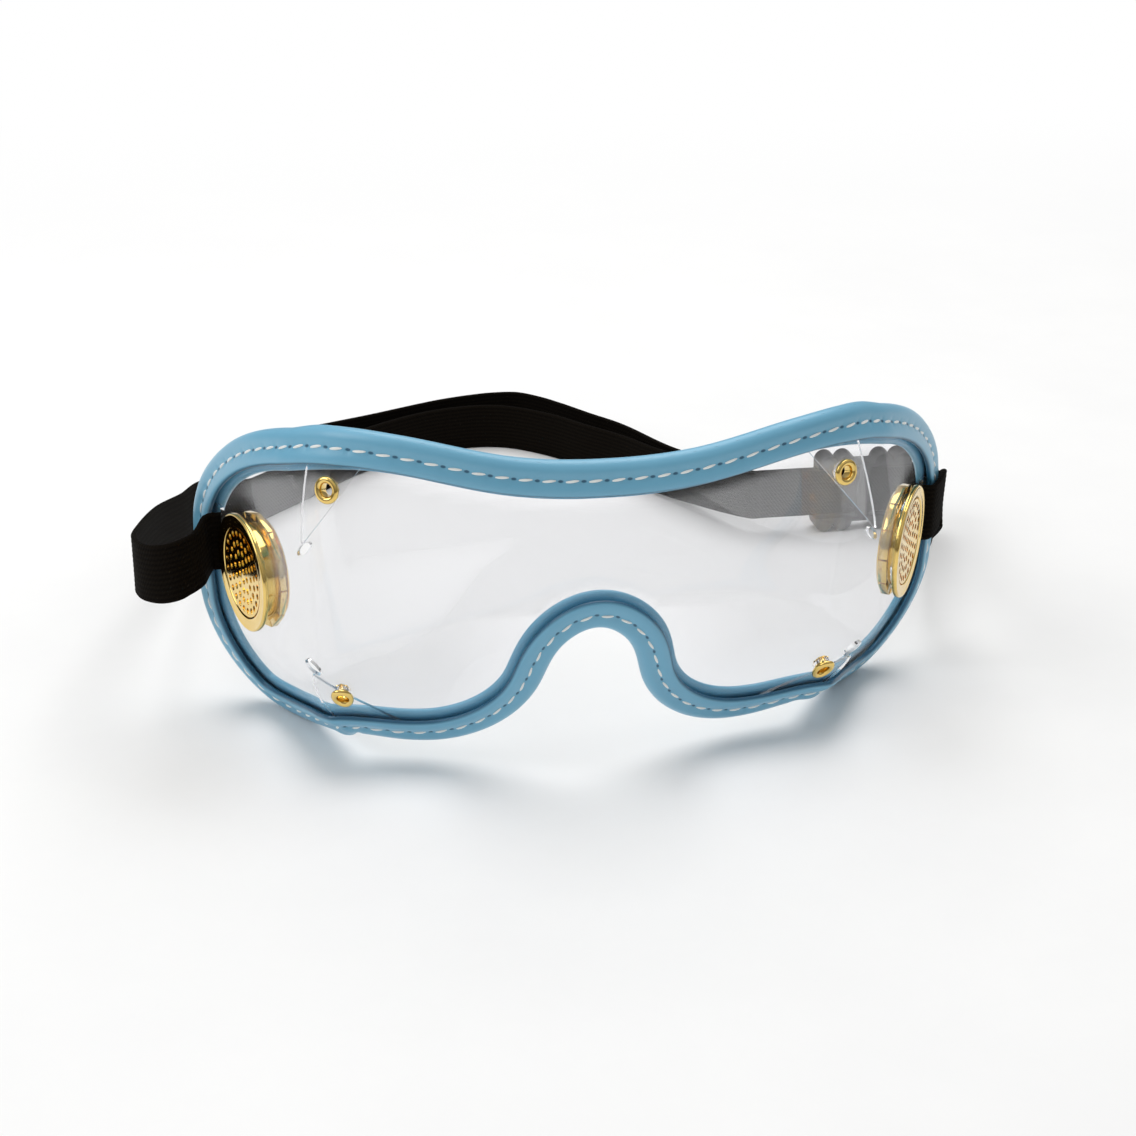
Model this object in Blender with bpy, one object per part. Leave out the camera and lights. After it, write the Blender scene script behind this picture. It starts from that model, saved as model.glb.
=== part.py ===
"""Racing goggles: a clear vinyl lens bound in leather, with brass vents and an elastic strap.

The lens, its binding and everything clamped through it are laid out as the flat pattern that
the maker would cut, facing -Y, with X along the pattern and Z up. One function then bends the
flat pattern round the face, and every piece that sits on the lens goes through it.
Metres, +Z up, the brow faces -Y and the strap runs back towards +Y.
"""
import math

import bmesh
import bpy
import numpy as np
from mathutils import Vector

# Flat pattern, measured to the binding's outer edge
FLAT_HALF_LENGTH = 0.1087
FLAT_HEIGHT = 0.080

# Sheet goods
LENS_THICKNESS = 0.0008
LEATHER_THICKNESS = 0.0012
FLAP_WIDTH = 0.0071
STRAP_WIDTH = 0.0135
STRAP_THICKNESS = 0.0012
FIT_GAP = 0.0003
EDGE_DROP = 0.0004

# How the flat pattern is bent: headings of the plan line, and how far its edges are drawn in
FRONT_TURN_RIGHT = math.radians(12.0)
FRONT_TURN_LEFT = math.radians(15.1)
TEMPLE_TURN_RIGHT = math.radians(56.4)
TEMPLE_TURN_LEFT = math.radians(70.7)
END_TURN_RIGHT = math.radians(56.4)
END_TURN_LEFT = math.radians(56.9)
CORNER_LENGTH = 0.019
END_LENGTH = 0.015
BROW_TUCK = 0.0075
CHEEK_TUCK = 0.0261
NOSE_EASE_LENGTH = 0.010
BROW_TUCK_POWER = 1.83
CHEEK_TUCK_POWER = 1.64

# Brass vents
VENT_RADIUS = 0.0125
VENT_RIM_WIDTH = 0.0027
VENT_RIM_THICKNESS = 0.0009
VENT_BARREL_WALL = 0.0006
VENT_LIP_THICKNESS = 0.0005
SCREEN_THICKNESS = 0.0004
SCREEN_RECESS = 0.0005
SCREEN_PITCH = 0.00198
SCREEN_HOLE_RADIUS = 0.00072
WASHER_THICKNESS = 0.0013
WASHER_NOTCH_WIDTH = 0.0005
WASHER_NOTCH_DEPTH = 0.0005

# Brass eyelets through the darts
EYELET_RADIUS = 0.0025
EYELET_HOLE_RADIUS = 0.0013
EYELET_WALL = 0.0004
EYELET_FLANGE = 0.00045
RELIEF_RADIUS = 0.0013

# Slots for the strap
SLOT_STANDOFF = 0.0022
SLOT_WIDTH = 0.0032
SLOT_LENGTH = 0.0163
SLOT_RISE = 0.0012

# Lockstitch seam
STITCH_PITCH = 0.0045
STITCH_LENGTH = 0.0031
STITCH_WIDTH = 0.0006
STITCH_HEIGHT = 0.00035
STITCH_GAP = 0.0003
THREAD_NECK = 0.00016
SEAM_FROM_EDGE = 0.0039

# Strap loop, as it lies on a table
LOOP_HALF_WIDTH = 0.1135
STRAP_DEPTH = 0.2085
LOOP_BULGE = 0.0182
CORNER_RADIUS = 0.0052
SIDE_RUN_BOW = 0.0020
RUN_START_DISTANCE = 0.072
RUN_DEPTH = 0.125

# Strap slide
SLIDE_HALF_LENGTH = 0.0130
SLIDE_LOBE_RADIUS = 0.0026
SLIDE_RAIL_THICKNESS = 0.0012
SLIDE_BAR_THICKNESS = 0.0011
SLIDE_END_BAR_WIDTH = 0.0024
SLIDE_CENTRE_BAR_WIDTH = 0.0030
SLIDE_CLEARANCE = 0.00045
SLIDE_END_GAP = 0.0005

# Fineness of the curves
OUTLINE_COUNT = 116
TURN_REACH = 0.012
GRID_STEP = 0.0060
FINE_GRID_STEP = 0.0034
CHEEK_GRID_STEP = 0.0039
NORMAL_STEP = 0.0002
PLAN_STEP = 0.0001
STRAP_STEP = 0.0065
OVERRUN = 0.002

# Half of the outline from the brow's centre round the temple to the nose, as shares of the
# flat half length and the flat height
HALF_OUTLINE_SHARES = [
    (0.000, 0.924), (0.184, 0.943), (0.386, 0.994), (0.636, 0.954), (0.860, 0.815),
    (1.000, 0.593), (0.994, 0.343), (0.918, 0.025), (0.566, 0.083), (0.305, 0.069),
    (0.150, 0.178), (0.104, 0.275), (0.066, 0.402), (0.000, 0.458),
]
VENT_SHARES = (0.773, 0.505)

# The darts and their eyelets, cut by hand and so a little unlike on the left (-1) and the right
UPPER_EYELET_SHARES = {-1: (0.497, 0.845), 1: (0.465, 0.834)}
LOWER_EYELET_SHARES = {-1: (0.491, 0.272), 1: (0.488, 0.255)}
UPPER_RELIEF_SHARES = {-1: (0.545, 0.685), 1: (0.545, 0.646)}
LOWER_RELIEF_SHARES = {-1: (0.535, 0.362), 1: (0.539, 0.308)}
UPPER_DART_SHARES = {-1: (0.440, 0.552), 1: (0.388, 0.506)}
LOWER_DART_SHARES = {-1: (0.395, 0.556), 1: (0.400, 0.556)}

# Where the tucks are given along the half length, and how much of each tuck they take
TUCK_PLACE_SHARES = [0.0, 0.368, 0.570, 0.773, 0.994]
BROW_TUCK_SHARES = [0.48, 0.28, 1.00, 0.68, 0.75]
CHEEK_TUCK_SHARES = [0.72, 0.83, 1.00, 0.64, 0.40]
NOSE_TUCK_START_SHARE = 0.877

# The strap's route, each point a share across, a share of the way back, a share of the climb
# from the table to the slots
LOOP_SHARES = [
    (0.30, -0.033, 0.96), (0.53, -0.048, 0.93), (0.725, -0.042, 0.90), (0.907, -0.017, 0.87),
    (1.00, 0.027, 0.83), (0.945, 0.110, 0.74), (0.764, 0.240, 0.59), (0.467, 0.389, 0.38),
    (0.066, 0.582, 0.12),
]
MAIN_RUN_SHARES = [
    (-0.555, 0.640, 0.0), (-0.414, 0.736, 0.0), (-0.273, 0.836, 0.0), (-0.101, 0.911, 0.0),
    (0.000, 0.932, 0.0), (0.070, 0.935, 0.0), (0.137, 0.922, 0.0), (0.229, 0.873, 0.0),
    (0.304, 0.811, 0.0), (0.379, 0.751, 0.0), (0.449, 0.662, 0.02),
]
TAIL_SHARES = [
    (0.485, 0.668, 0.02), (0.396, 0.805, 0.0), (0.330, 0.868, 0.0), (0.269, 0.929, 0.0),
    (0.225, 0.966, 0.0), (0.170, 0.996, 0.0), (0.110, 1.000, 0.0), (0.060, 0.995, 0.0),
    (-0.040, 0.975, 0.0), (-0.238, 0.913, 0.0), (-0.414, 0.863, 0.0), (-0.502, 0.840, 0.0),
]
SIDE_RUN_SHARES = [0.12, 0.30, 0.50, 0.70, 0.88]

# The strap's ends at the lens: where it is clamped on the left, its turn out of the left slot in
# shares of its thickness and of its standoff behind the lens, and its turn round the right edge
CLAMP_SHARE = 0.3
LEFT_TURN_SHARES = [(-2.0, -1.0), (-0.5, -0.5), (0.0, 0.46), (0.25, 1.86)]
HAIRPIN_SHARES = [(0.93, 1.0), (0.30, 0.82), (0.0, 0.38)]
CORNER_TURN = math.radians(115.0)
CORNER_POINTS = 5
SCREEN_RINGS = 4
SCREEN_HOLE_SIDES = 4
WASHER_TABS = 12
SPLINE_PIECES = 24
LOBE_PIECES = 6
SHARP_EDGE = math.radians(35)
ROUND_SIDES = 24
SMALL_ROUND_SIDES = 10

# Sizes worked out from the ones above
LENS_FRONT = LENS_THICKNESS / 2
LENS_EDGE_INSET = LEATHER_THICKNESS + FIT_GAP
FLAP_INSIDE = LENS_FRONT + FIT_GAP
FLAP_OUTSIDE = FLAP_INSIDE + LEATHER_THICKNESS
DART_FRONT = LENS_FRONT + LENS_THICKNESS
VENT_U = VENT_SHARES[0] * FLAT_HALF_LENGTH
VENT_Z = VENT_SHARES[1] * FLAT_HEIGHT
CORNER_END = VENT_U - VENT_RADIUS - SLOT_STANDOFF
CORNER_START = CORNER_END - CORNER_LENGTH
END_START = VENT_U + VENT_RADIUS + FIT_GAP
END_END = END_START + END_LENGTH
SLOT_U = VENT_U + VENT_RADIUS + SLOT_STANDOFF
SLOT_Z = VENT_Z + SLOT_RISE
BARREL_RADIUS = VENT_RADIUS - VENT_RIM_WIDTH
STRAP_OVER_FLAP = FLAP_OUTSIDE + STITCH_GAP + STITCH_HEIGHT + FIT_GAP + STRAP_THICKNESS / 2
STRAP_UNDER_LENS = LENS_FRONT + FIT_GAP + STRAP_THICKNESS / 2
STRAP_LAYER_STEP = STRAP_THICKNESS + FIT_GAP
TABLE_HEIGHT = STRAP_WIDTH / 2
SLIDE_INNER = STRAP_WIDTH / 2 + SLIDE_CLEARANCE
SLIDE_LOBE_HEIGHT = SLIDE_INNER + SLIDE_RAIL_THICKNESS
SLIDE_HALF_HEIGHT = SLIDE_LOBE_HEIGHT + SLIDE_LOBE_RADIUS
SLIDE_BAR_INNER = STRAP_LAYER_STEP / 2 + STRAP_THICKNESS / 2 + FIT_GAP
SLIDE_HALF_DEPTH = SLIDE_BAR_INNER + SLIDE_BAR_THICKNESS
RUN_HEIGHT = SLIDE_HALF_HEIGHT + FIT_GAP
SLIDE_X = LOOP_HALF_WIDTH - SLIDE_HALF_LENGTH - SLIDE_END_GAP


# Curves

def closed_spline(points):
    """A smooth closed curve through the points, its last point the same as its first."""
    points = np.array(points, dtype=float)
    after = np.roll(points, -1, axis=0)
    step = np.linalg.norm(after - points, axis=1)
    before = np.roll(step, 1)
    size = len(points)
    system = np.zeros((size, size))
    for i in range(size):
        system[i, (i - 1) % size] += before[i]
        system[i, i] += 2 * (before[i] + step[i])
        system[i, (i + 1) % size] += step[i]
    slope = (after - points) / step[:, None]
    bend = np.linalg.solve(system, 6 * (slope - np.roll(slope, 1, axis=0)))
    next_bend = np.roll(bend, -1, axis=0)
    dense = []
    for i in range(size):
        for part in np.linspace(0, 1, SPLINE_PIECES, endpoint=False):
            rest = 1 - part
            curve = (rest ** 3 - rest) * bend[i] + (part ** 3 - part) * next_bend[i]
            dense.append(rest * points[i] + part * after[i] + step[i] ** 2 / 6 * curve)
    return np.array(dense + dense[:1])


def even_steps(line, steps, count):
    """Points at equal shares of the steps along a closed line whose last point is its first."""
    run = np.concatenate([[0], np.cumsum(steps)])
    wanted = np.linspace(0, run[-1], count, endpoint=False)
    return np.stack([np.interp(wanted, run, line[:, k]) for k in range(line.shape[1])], axis=1)


def lengths(line):
    return np.linalg.norm(np.diff(line, axis=0), axis=1)


def inset(line, distance):
    """A closed clockwise line moved inwards by a distance."""
    along = np.roll(line, -1, axis=0) - np.roll(line, 1, axis=0)
    along /= np.linalg.norm(along, axis=1)[:, None]
    return line + distance * np.stack([along[:, 1], -along[:, 0]], axis=1)


def smooth_table(at, places, values):
    """Values between places on a curve whose slope is zero at both ends."""
    places = np.array(places)
    values = np.array(values)
    slopes = np.zeros(len(places))
    slopes[1:-1] = (values[2:] - values[:-2]) / (places[2:] - places[:-2])
    at = np.clip(at, places[0], places[-1])
    i = np.clip(np.searchsorted(places, at, side="right") - 1, 0, len(places) - 2)
    step = places[i + 1] - places[i]
    t = (at - places[i]) / step
    start = values[i] * (1 + 2 * t) * (1 - t) ** 2 + slopes[i] * step * t * (1 - t) ** 2
    end = values[i + 1] * t * t * (3 - 2 * t) + slopes[i + 1] * step * t * t * (t - 1)
    return start + end


def circle(centre, radius, sides):
    """Points of a circle on the flat pattern."""
    turns = np.arange(sides) * 2 * math.pi / sides
    return [(centre[0] + radius * math.cos(a), centre[1] + radius * math.sin(a)) for a in turns]


# The bent surface

def plan_line(front_turn, temple_turn, end_turn):
    """The lens in plan at vent height: a flat front arc, a corner arc and a straight temple."""
    along = np.arange(0, FLAT_HALF_LENGTH + CORNER_LENGTH, PLAN_STEP)
    knots = [0, CORNER_START, CORNER_END, END_START, END_END]
    heading = np.interp(along, knots, [0, front_turn, temple_turn, temple_turn, end_turn])
    middle = (heading[1:] + heading[:-1]) / 2
    x = np.concatenate([[0], np.cumsum(np.cos(middle)) * PLAN_STEP])
    y = np.concatenate([[0], np.cumsum(np.sin(middle)) * PLAN_STEP])
    return along, heading, x, y


PLAN_RIGHT = plan_line(FRONT_TURN_RIGHT, TEMPLE_TURN_RIGHT, END_TURN_RIGHT)
PLAN_LEFT = plan_line(FRONT_TURN_LEFT, TEMPLE_TURN_LEFT, END_TURN_LEFT)


def tuck(u, z):
    """How far the darts draw the sheet in behind its plan line."""
    places = [share * FLAT_HALF_LENGTH for share in TUCK_PLACE_SHARES]
    brow = BROW_TUCK * smooth_table(u, places, BROW_TUCK_SHARES)
    cheek = CHEEK_TUCK * smooth_table(u, places, CHEEK_TUCK_SHARES)
    brow_start = VENT_Z + VENT_RADIUS
    vent_low = VENT_Z - VENT_RADIUS
    eased = np.where(u < NOSE_EASE_LENGTH, u ** 2 / (2 * NOSE_EASE_LENGTH) + NOSE_EASE_LENGTH / 2, u)
    cheek_start = np.interp(eased, [0, places[2]], [NOSE_TUCK_START_SHARE * FLAT_HEIGHT, vent_low])
    above = np.maximum(z - brow_start, 0) / (FLAT_HEIGHT - brow_start)
    below = np.maximum(cheek_start - z, 0) / cheek_start
    return brow * above ** BROW_TUCK_POWER + cheek * below ** CHEEK_TUCK_POWER


def sheet(u, z):
    """World points of the lens's middle surface at places on the flat pattern."""
    half = np.abs(u)
    left = u < 0
    right_line = [np.interp(half, PLAN_RIGHT[0], column) for column in PLAN_RIGHT[1:]]
    left_line = [np.interp(half, PLAN_LEFT[0], column) for column in PLAN_LEFT[1:]]
    heading, x, y = [np.where(left, a, b) for a, b in zip(left_line, right_line)]
    drawn_in = tuck(half, z)
    x = x - np.sin(heading) * drawn_in
    y = y + np.cos(heading) * drawn_in
    return np.stack([np.where(left, -x, x), y, z + EDGE_DROP], axis=1)


def bent(flat):
    """World points for flat pattern points, whose -Y is the distance in front of the sheet."""
    flat = np.array(flat, dtype=float).reshape(-1, 3)
    u, front, z = flat[:, 0], -flat[:, 1], flat[:, 2]
    across = sheet(u + NORMAL_STEP, z) - sheet(u - NORMAL_STEP, z)
    up = sheet(u, z + NORMAL_STEP) - sheet(u, z - NORMAL_STEP)
    normal = np.cross(across, up)
    normal /= np.linalg.norm(normal, axis=1)[:, None]
    return sheet(u, z) + normal * front[:, None]


# Outline of the binding and the lines that follow it

def outline_points():
    half = [(u * FLAT_HALF_LENGTH, z * FLAT_HEIGHT) for u, z in HALF_OUTLINE_SHARES]
    mirrored = [(-u, z) for u, z in half[-2:0:-1]]
    return half + mirrored


def outline_stations():
    """Stations along the outline, closer together where its bent line turns."""
    line = closed_spline(outline_points())
    curve = bent([(u, 0, z) for u, z in line])
    along = np.diff(curve, axis=0) / lengths(curve)[:, None]
    turn = np.arccos(np.clip(np.sum(along * np.roll(along, -1, axis=0), axis=1), -1, 1))
    return even_steps(line, lengths(curve) + TURN_REACH * turn, OUTLINE_COUNT)


OUTLINE = outline_stations()
FLAP_EDGE = inset(OUTLINE, FLAP_WIDTH)


def flap_edge_height(u, upper):
    """Height of the binding's inner edge at a place along the pattern's right half."""
    side = FLAP_EDGE[(FLAP_EDGE[:, 0] > 0) & ((FLAP_EDGE[:, 1] > VENT_Z) == upper)]
    side = side[np.argsort(side[:, 0])]
    return np.interp(u, side[:, 0], side[:, 1])


# Mesh helpers

def material(name, colour, roughness, metallic=0.0, alpha=1.0):
    made = bpy.data.materials.new(name)
    made.use_nodes = True
    shader = made.node_tree.nodes["Principled BSDF"]
    shader.inputs["Base Color"].default_value = (*colour, 1.0)
    shader.inputs["Roughness"].default_value = roughness
    shader.inputs["Metallic"].default_value = metallic
    shader.inputs["Alpha"].default_value = alpha
    return made


def add_object(name, bm, finish, smooth=True):
    """A scene object from a bmesh, its faces pointing out and its material set."""
    bmesh.ops.recalc_face_normals(bm, faces=bm.faces[:])
    mesh = bpy.data.meshes.new(name)
    bm.to_mesh(mesh)
    bm.free()
    mesh.materials.append(finish)
    obj = bpy.data.objects.new(name, mesh)
    bpy.context.scene.collection.objects.link(obj)
    if smooth:
        mesh.shade_smooth()
        mesh.set_sharp_from_angle(angle=SHARP_EDGE)
    return obj


def prism(outline, front, back):
    """A bmesh prism with its outline on the flat pattern, between two distances in front."""
    bm = bmesh.new()
    near = [bm.verts.new((u, -front, z)) for u, z in outline]
    far = [bm.verts.new((u, -back, z)) for u, z in outline]
    bm.faces.new(near)
    bm.faces.new(far[::-1])
    for i in range(len(near)):
        j = (i + 1) % len(near)
        bm.faces.new((near[j], near[i], far[i], far[j]))
    bmesh.ops.recalc_face_normals(bm, faces=bm.faces[:])
    return bm


def ring_tube(bm, rings, closed):
    """Skin between equal rings of vertices, capped at both ends unless it closes on itself."""
    count = len(rings)
    for i in range(count if closed else count - 1):
        first, second = rings[i], rings[(i + 1) % count]
        for k in range(len(first)):
            m = (k + 1) % len(first)
            bm.faces.new((first[k], first[m], second[m], second[k]))
    if not closed:
        bm.faces.new(rings[0][::-1])
        bm.faces.new(rings[-1])


def turned(centre, profile, sides):
    """A bmesh ring turned about the flat pattern's normal from (radius, front) points."""
    bm = bmesh.new()
    rings = []
    for i in range(sides):
        angle = 2 * math.pi * i / sides
        u = [centre[0] + radius * math.cos(angle) for radius, front in profile]
        z = [centre[1] + radius * math.sin(angle) for radius, front in profile]
        rings.append([bm.verts.new((a, -front, b)) for a, b, (radius, front) in zip(u, z, profile)])
    ring_tube(bm, rings, closed=True)
    return bm


def cut_in_strips(bm, places, axis, reach=FLAT_HALF_LENGTH):
    """Cuts a flat bmesh across at places along an axis, so that it can bend there."""
    for place in places:
        faces = [face for face in bm.faces if abs(face.calc_center_median().x) < reach]
        geometry = set(faces)
        for face in faces:
            geometry.update(face.verts[:] + face.edges[:])
        geometry = list(geometry)
        point = Vector((0, 0, 0))
        point[axis] = place
        normal = Vector((0, 0, 0))
        normal[axis] = 1
        bmesh.ops.bisect_plane(bm, geom=geometry, plane_co=point, plane_no=normal)


def bend_lines():
    """Places across and up the pattern where the lens is cut so that it follows its curves."""
    front = np.linspace(0, CORNER_START, 1 + math.ceil(CORNER_START / GRID_STEP))
    corner = np.linspace(CORNER_START, CORNER_END, 1 + math.ceil(CORNER_LENGTH / FINE_GRID_STEP))
    end_length = FLAT_HALF_LENGTH - CORNER_END
    end = np.linspace(CORNER_END, FLAT_HALF_LENGTH, 1 + math.ceil(end_length / GRID_STEP))
    half = list(front[1:]) + list(corner[1:]) + list(end[1:-1])
    across = [-u for u in half] + [0] + half
    vent_low, vent_high = VENT_Z - VENT_RADIUS, VENT_Z + VENT_RADIUS
    low = np.arange(vent_low, 0, -CHEEK_GRID_STEP)
    high = np.arange(vent_high, FLAT_HEIGHT, GRID_STEP)
    between = np.arange(vent_low, vent_high, CHEEK_GRID_STEP)[1:]
    return across, list(low) + list(high), list(between)


def cut_for_bending(bm):
    across, up, between = bend_lines()
    cut_in_strips(bm, across, 0)
    cut_in_strips(bm, up, 2)
    cut_in_strips(bm, between, 2, reach=CORNER_START)


def boolean(obj, tools, operation):
    """Joins or cuts an object with other bmeshes, one exact Boolean for them all."""
    for tool in tools:
        other = add_object("tool", tool, obj.data.materials[0], smooth=False)
        modifier = obj.modifiers.new("shape", "BOOLEAN")
        modifier.operation = operation
        modifier.solver = "EXACT"
        modifier.object = other
        bpy.context.view_layer.objects.active = obj
        bpy.ops.object.modifier_apply(modifier=modifier.name)
        bpy.data.objects.remove(other)


def joined(parts):
    """One bmesh that holds several separate ones."""
    whole = bmesh.new()
    for part in parts:
        mesh = bpy.data.meshes.new("part")
        part.to_mesh(mesh)
        part.free()
        whole.from_mesh(mesh)
        bpy.data.meshes.remove(mesh)
    return whole


def bend_object(obj):
    """Triangulates a flat object, bends it with the lens and puts its origin at its middle."""
    bm = bmesh.new()
    bm.from_mesh(obj.data)
    bmesh.ops.triangulate(bm, faces=bm.faces[:])
    for vert, place in zip(bm.verts, bent([vert.co[:] for vert in bm.verts])):
        vert.co = place
    bm.to_mesh(obj.data)
    bm.free()
    settle(obj, middle(obj))


def middle(obj):
    corners = [Vector(corner) for corner in obj.bound_box]
    return sum(corners, Vector()) / len(corners)


def settle(obj, origin):
    """Moves an object's origin without moving its shape."""
    for vert in obj.data.vertices:
        vert.co -= Vector(origin)
    obj.location = origin


# Lens

def dart_pad(side, upper):
    """The flap of lens that laps over its neighbour at a dart, as a wedge on the lens front."""
    relief = (UPPER_RELIEF_SHARES if upper else LOWER_RELIEF_SHARES)[side]
    dart_shares = (UPPER_DART_SHARES if upper else LOWER_DART_SHARES)[side]
    inner_u, outer_u = [share * FLAT_HALF_LENGTH for share in dart_shares]
    towards_edge = 1 if upper else -1
    tip = relief[1] * FLAT_HEIGHT + towards_edge * (RELIEF_RADIUS + FIT_GAP)
    tip_u = relief[0] * FLAT_HALF_LENGTH
    outline = [(tip_u - FIT_GAP, tip), (tip_u + FIT_GAP, tip)]
    for u in (outer_u, inner_u):
        outline.append((u, flap_edge_height(u, upper) - towards_edge * 2 * FIT_GAP))
    bm = prism([(side * u, z) for u, z in outline], DART_FRONT, 0)
    cut_for_bending(bm)
    return bm


def slot_outline(side):
    inner, outer = SLOT_U - SLOT_WIDTH / 2, SLOT_U + SLOT_WIDTH / 2
    low, high = SLOT_Z - SLOT_LENGTH / 2, SLOT_Z + SLOT_LENGTH / 2
    return [(side * inner, low), (side * outer, low), (side * outer, high), (side * inner, high)]


def pattern_place(side_shares, side):
    u_share, z_share = side_shares[side]
    return side * u_share * FLAT_HALF_LENGTH, z_share * FLAT_HEIGHT


def make_lens(finish):
    bm = prism(inset(OUTLINE, LENS_EDGE_INSET), LENS_FRONT, -LENS_FRONT)
    cut_for_bending(bm)
    lens = add_object("lens", bm, finish)
    pads = [dart_pad(side, upper) for side in (-1, 1) for upper in (True, False)]
    boolean(lens, pads, "UNION")
    barrel_hole = BARREL_RADIUS + FIT_GAP
    eyelet_hole = EYELET_HOLE_RADIUS + EYELET_WALL + FIT_GAP
    cutters = []
    for side in (-1, 1):
        outlines = [
            circle((side * VENT_U, VENT_Z), barrel_hole, ROUND_SIDES),
            circle(pattern_place(UPPER_EYELET_SHARES, side), eyelet_hole, SMALL_ROUND_SIDES),
            circle(pattern_place(LOWER_EYELET_SHARES, side), eyelet_hole, SMALL_ROUND_SIDES),
            circle(pattern_place(UPPER_RELIEF_SHARES, side), RELIEF_RADIUS, SMALL_ROUND_SIDES),
            circle(pattern_place(LOWER_RELIEF_SHARES, side), RELIEF_RADIUS, SMALL_ROUND_SIDES),
            slot_outline(side),
        ]
        cutters += [prism(outline, OVERRUN, -OVERRUN) for outline in outlines]
    boolean(lens, [joined(cutters)], "DIFFERENCE")
    bend_object(lens)
    return lens


# Leather binding and its seam

def binding_section():
    """The folded strip in section, as (inset from the outer edge, distance in front) points."""
    bevel = LEATHER_THICKNESS / 2
    middle = (LEATHER_THICKNESS + FLAP_WIDTH) / 2
    front = [
        (LEATHER_THICKNESS, FLAP_INSIDE), (middle, FLAP_INSIDE), (FLAP_WIDTH, FLAP_INSIDE),
        (FLAP_WIDTH, FLAP_OUTSIDE - bevel), (FLAP_WIDTH - bevel, FLAP_OUTSIDE), (middle, FLAP_OUTSIDE),
        (LEATHER_THICKNESS, FLAP_OUTSIDE), (0, FLAP_INSIDE),
    ]
    return front + [(distance, -height) for distance, height in front[::-1]]


def make_binding(finish):
    section = binding_section()
    lines = [inset(OUTLINE, distance) for distance, front in section]
    bm = bmesh.new()
    rings = []
    for i in range(OUTLINE_COUNT):
        points = [(line[i][0], -front, line[i][1]) for line, (distance, front) in zip(lines, section)]
        rings.append([bm.verts.new(point) for point in points])
    ring_tube(bm, rings, closed=True)
    binding = add_object("binding", bm, finish)
    bend_object(binding)
    return binding


def make_thread(name, facing, finish):
    """One side's unbroken thread: a raised bar for each stitch and a thin neck between two."""
    seam = inset(OUTLINE, SEAM_FROM_EDGE)
    closed = np.vstack([seam, seam[:1]])
    length = lengths(closed).sum()
    count = round(length / STITCH_PITCH)
    stations = 3 * count
    step = length / stations
    marks = even_steps(closed, lengths(closed), stations)
    along = np.roll(marks, -1, axis=0) - np.roll(marks, 1, axis=0)
    along /= np.linalg.norm(along, axis=1)[:, None]
    foot = facing * (FLAP_OUTSIDE + STITCH_GAP)
    bm = bmesh.new()
    rings = []
    for i, (mark, direction) in enumerate(zip(marks, along)):
        place = i % 3
        shift = [0, STITCH_LENGTH / 2 - step, step - STITCH_LENGTH / 2][place]
        mark = mark - direction * shift
        width, height = (THREAD_NECK, THREAD_NECK) if place == 0 else (STITCH_WIDTH, STITCH_HEIGHT)
        side = np.array([-direction[1], direction[0]]) * width / 2
        crown = foot + facing * height
        points = [(*(mark - side), foot), (*(mark + side), foot), (*mark, crown)]
        rings.append([bm.verts.new((u, -front, z)) for u, z, front in points])
    ring_tube(bm, rings, closed=True)
    thread = add_object(name, bm, finish, smooth=False)
    bend_object(thread)
    return thread


# Vents

def washer_front(side):
    """Front face of a vent's washer: behind the strap's end on the left, the lens on the right."""
    stack = STRAP_THICKNESS + FIT_GAP if side < 0 else 0
    return -(LENS_FRONT + FIT_GAP + stack)


def make_vent_rim(name, side, finish):
    """The vent's bright rim and barrel, crimped over its washer behind the lens."""
    rim_back = LENS_FRONT + FIT_GAP
    rim_front = rim_back + VENT_RIM_THICKNESS
    edge = VENT_RIM_THICKNESS / 3
    bore = BARREL_RADIUS - VENT_BARREL_WALL
    lip_front = washer_front(side) - WASHER_THICKNESS - FIT_GAP
    lip_back = lip_front - VENT_LIP_THICKNESS
    lip_radius = BARREL_RADIUS + VENT_BARREL_WALL
    ledge = rim_front - SCREEN_RECESS - SCREEN_THICKNESS - FIT_GAP
    seat = BARREL_RADIUS - VENT_BARREL_WALL / 2
    profile = [
        (VENT_RADIUS, rim_back), (VENT_RADIUS, rim_front - edge), (VENT_RADIUS - edge, rim_front),
        (seat, rim_front), (seat, ledge), (bore, ledge),
        (bore, lip_back), (lip_radius, lip_back), (lip_radius, lip_front),
        (BARREL_RADIUS, lip_front), (BARREL_RADIUS, rim_back),
    ]
    rim = add_object(name, turned((side * VENT_U, VENT_Z), profile, ROUND_SIDES), finish)
    bend_object(rim)
    return rim


def screen_holes(side):
    """Centres of the screen's holes, in rings of a six-sided pattern."""
    centres = []
    row_step = SCREEN_PITCH * math.sqrt(3) / 2
    for row in range(-SCREEN_RINGS, SCREEN_RINGS + 1):
        in_row = 2 * SCREEN_RINGS + 1 - abs(row)
        for i in range(in_row):
            u = (i - (in_row - 1) / 2) * SCREEN_PITCH
            centres.append((side * VENT_U + u, VENT_Z + row * row_step))
    return centres


def make_vent_screen(name, side, finish):
    """The punched disc that sits on the ledge inside the rim."""
    front = LENS_FRONT + FIT_GAP + VENT_RIM_THICKNESS - SCREEN_RECESS
    back = front - SCREEN_THICKNESS
    radius = BARREL_RADIUS - VENT_BARREL_WALL / 2 - FIT_GAP
    disc = prism(circle((side * VENT_U, VENT_Z), radius, ROUND_SIDES), front, back)
    screen = add_object(name, disc, finish, smooth=False)
    outlines = [circle(centre, SCREEN_HOLE_RADIUS, SCREEN_HOLE_SIDES) for centre in screen_holes(side)]
    holes = [prism(outline, OVERRUN, -OVERRUN) for outline in outlines]
    boolean(screen, [joined(holes)], "DIFFERENCE")
    bend_object(screen)
    return screen


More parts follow.
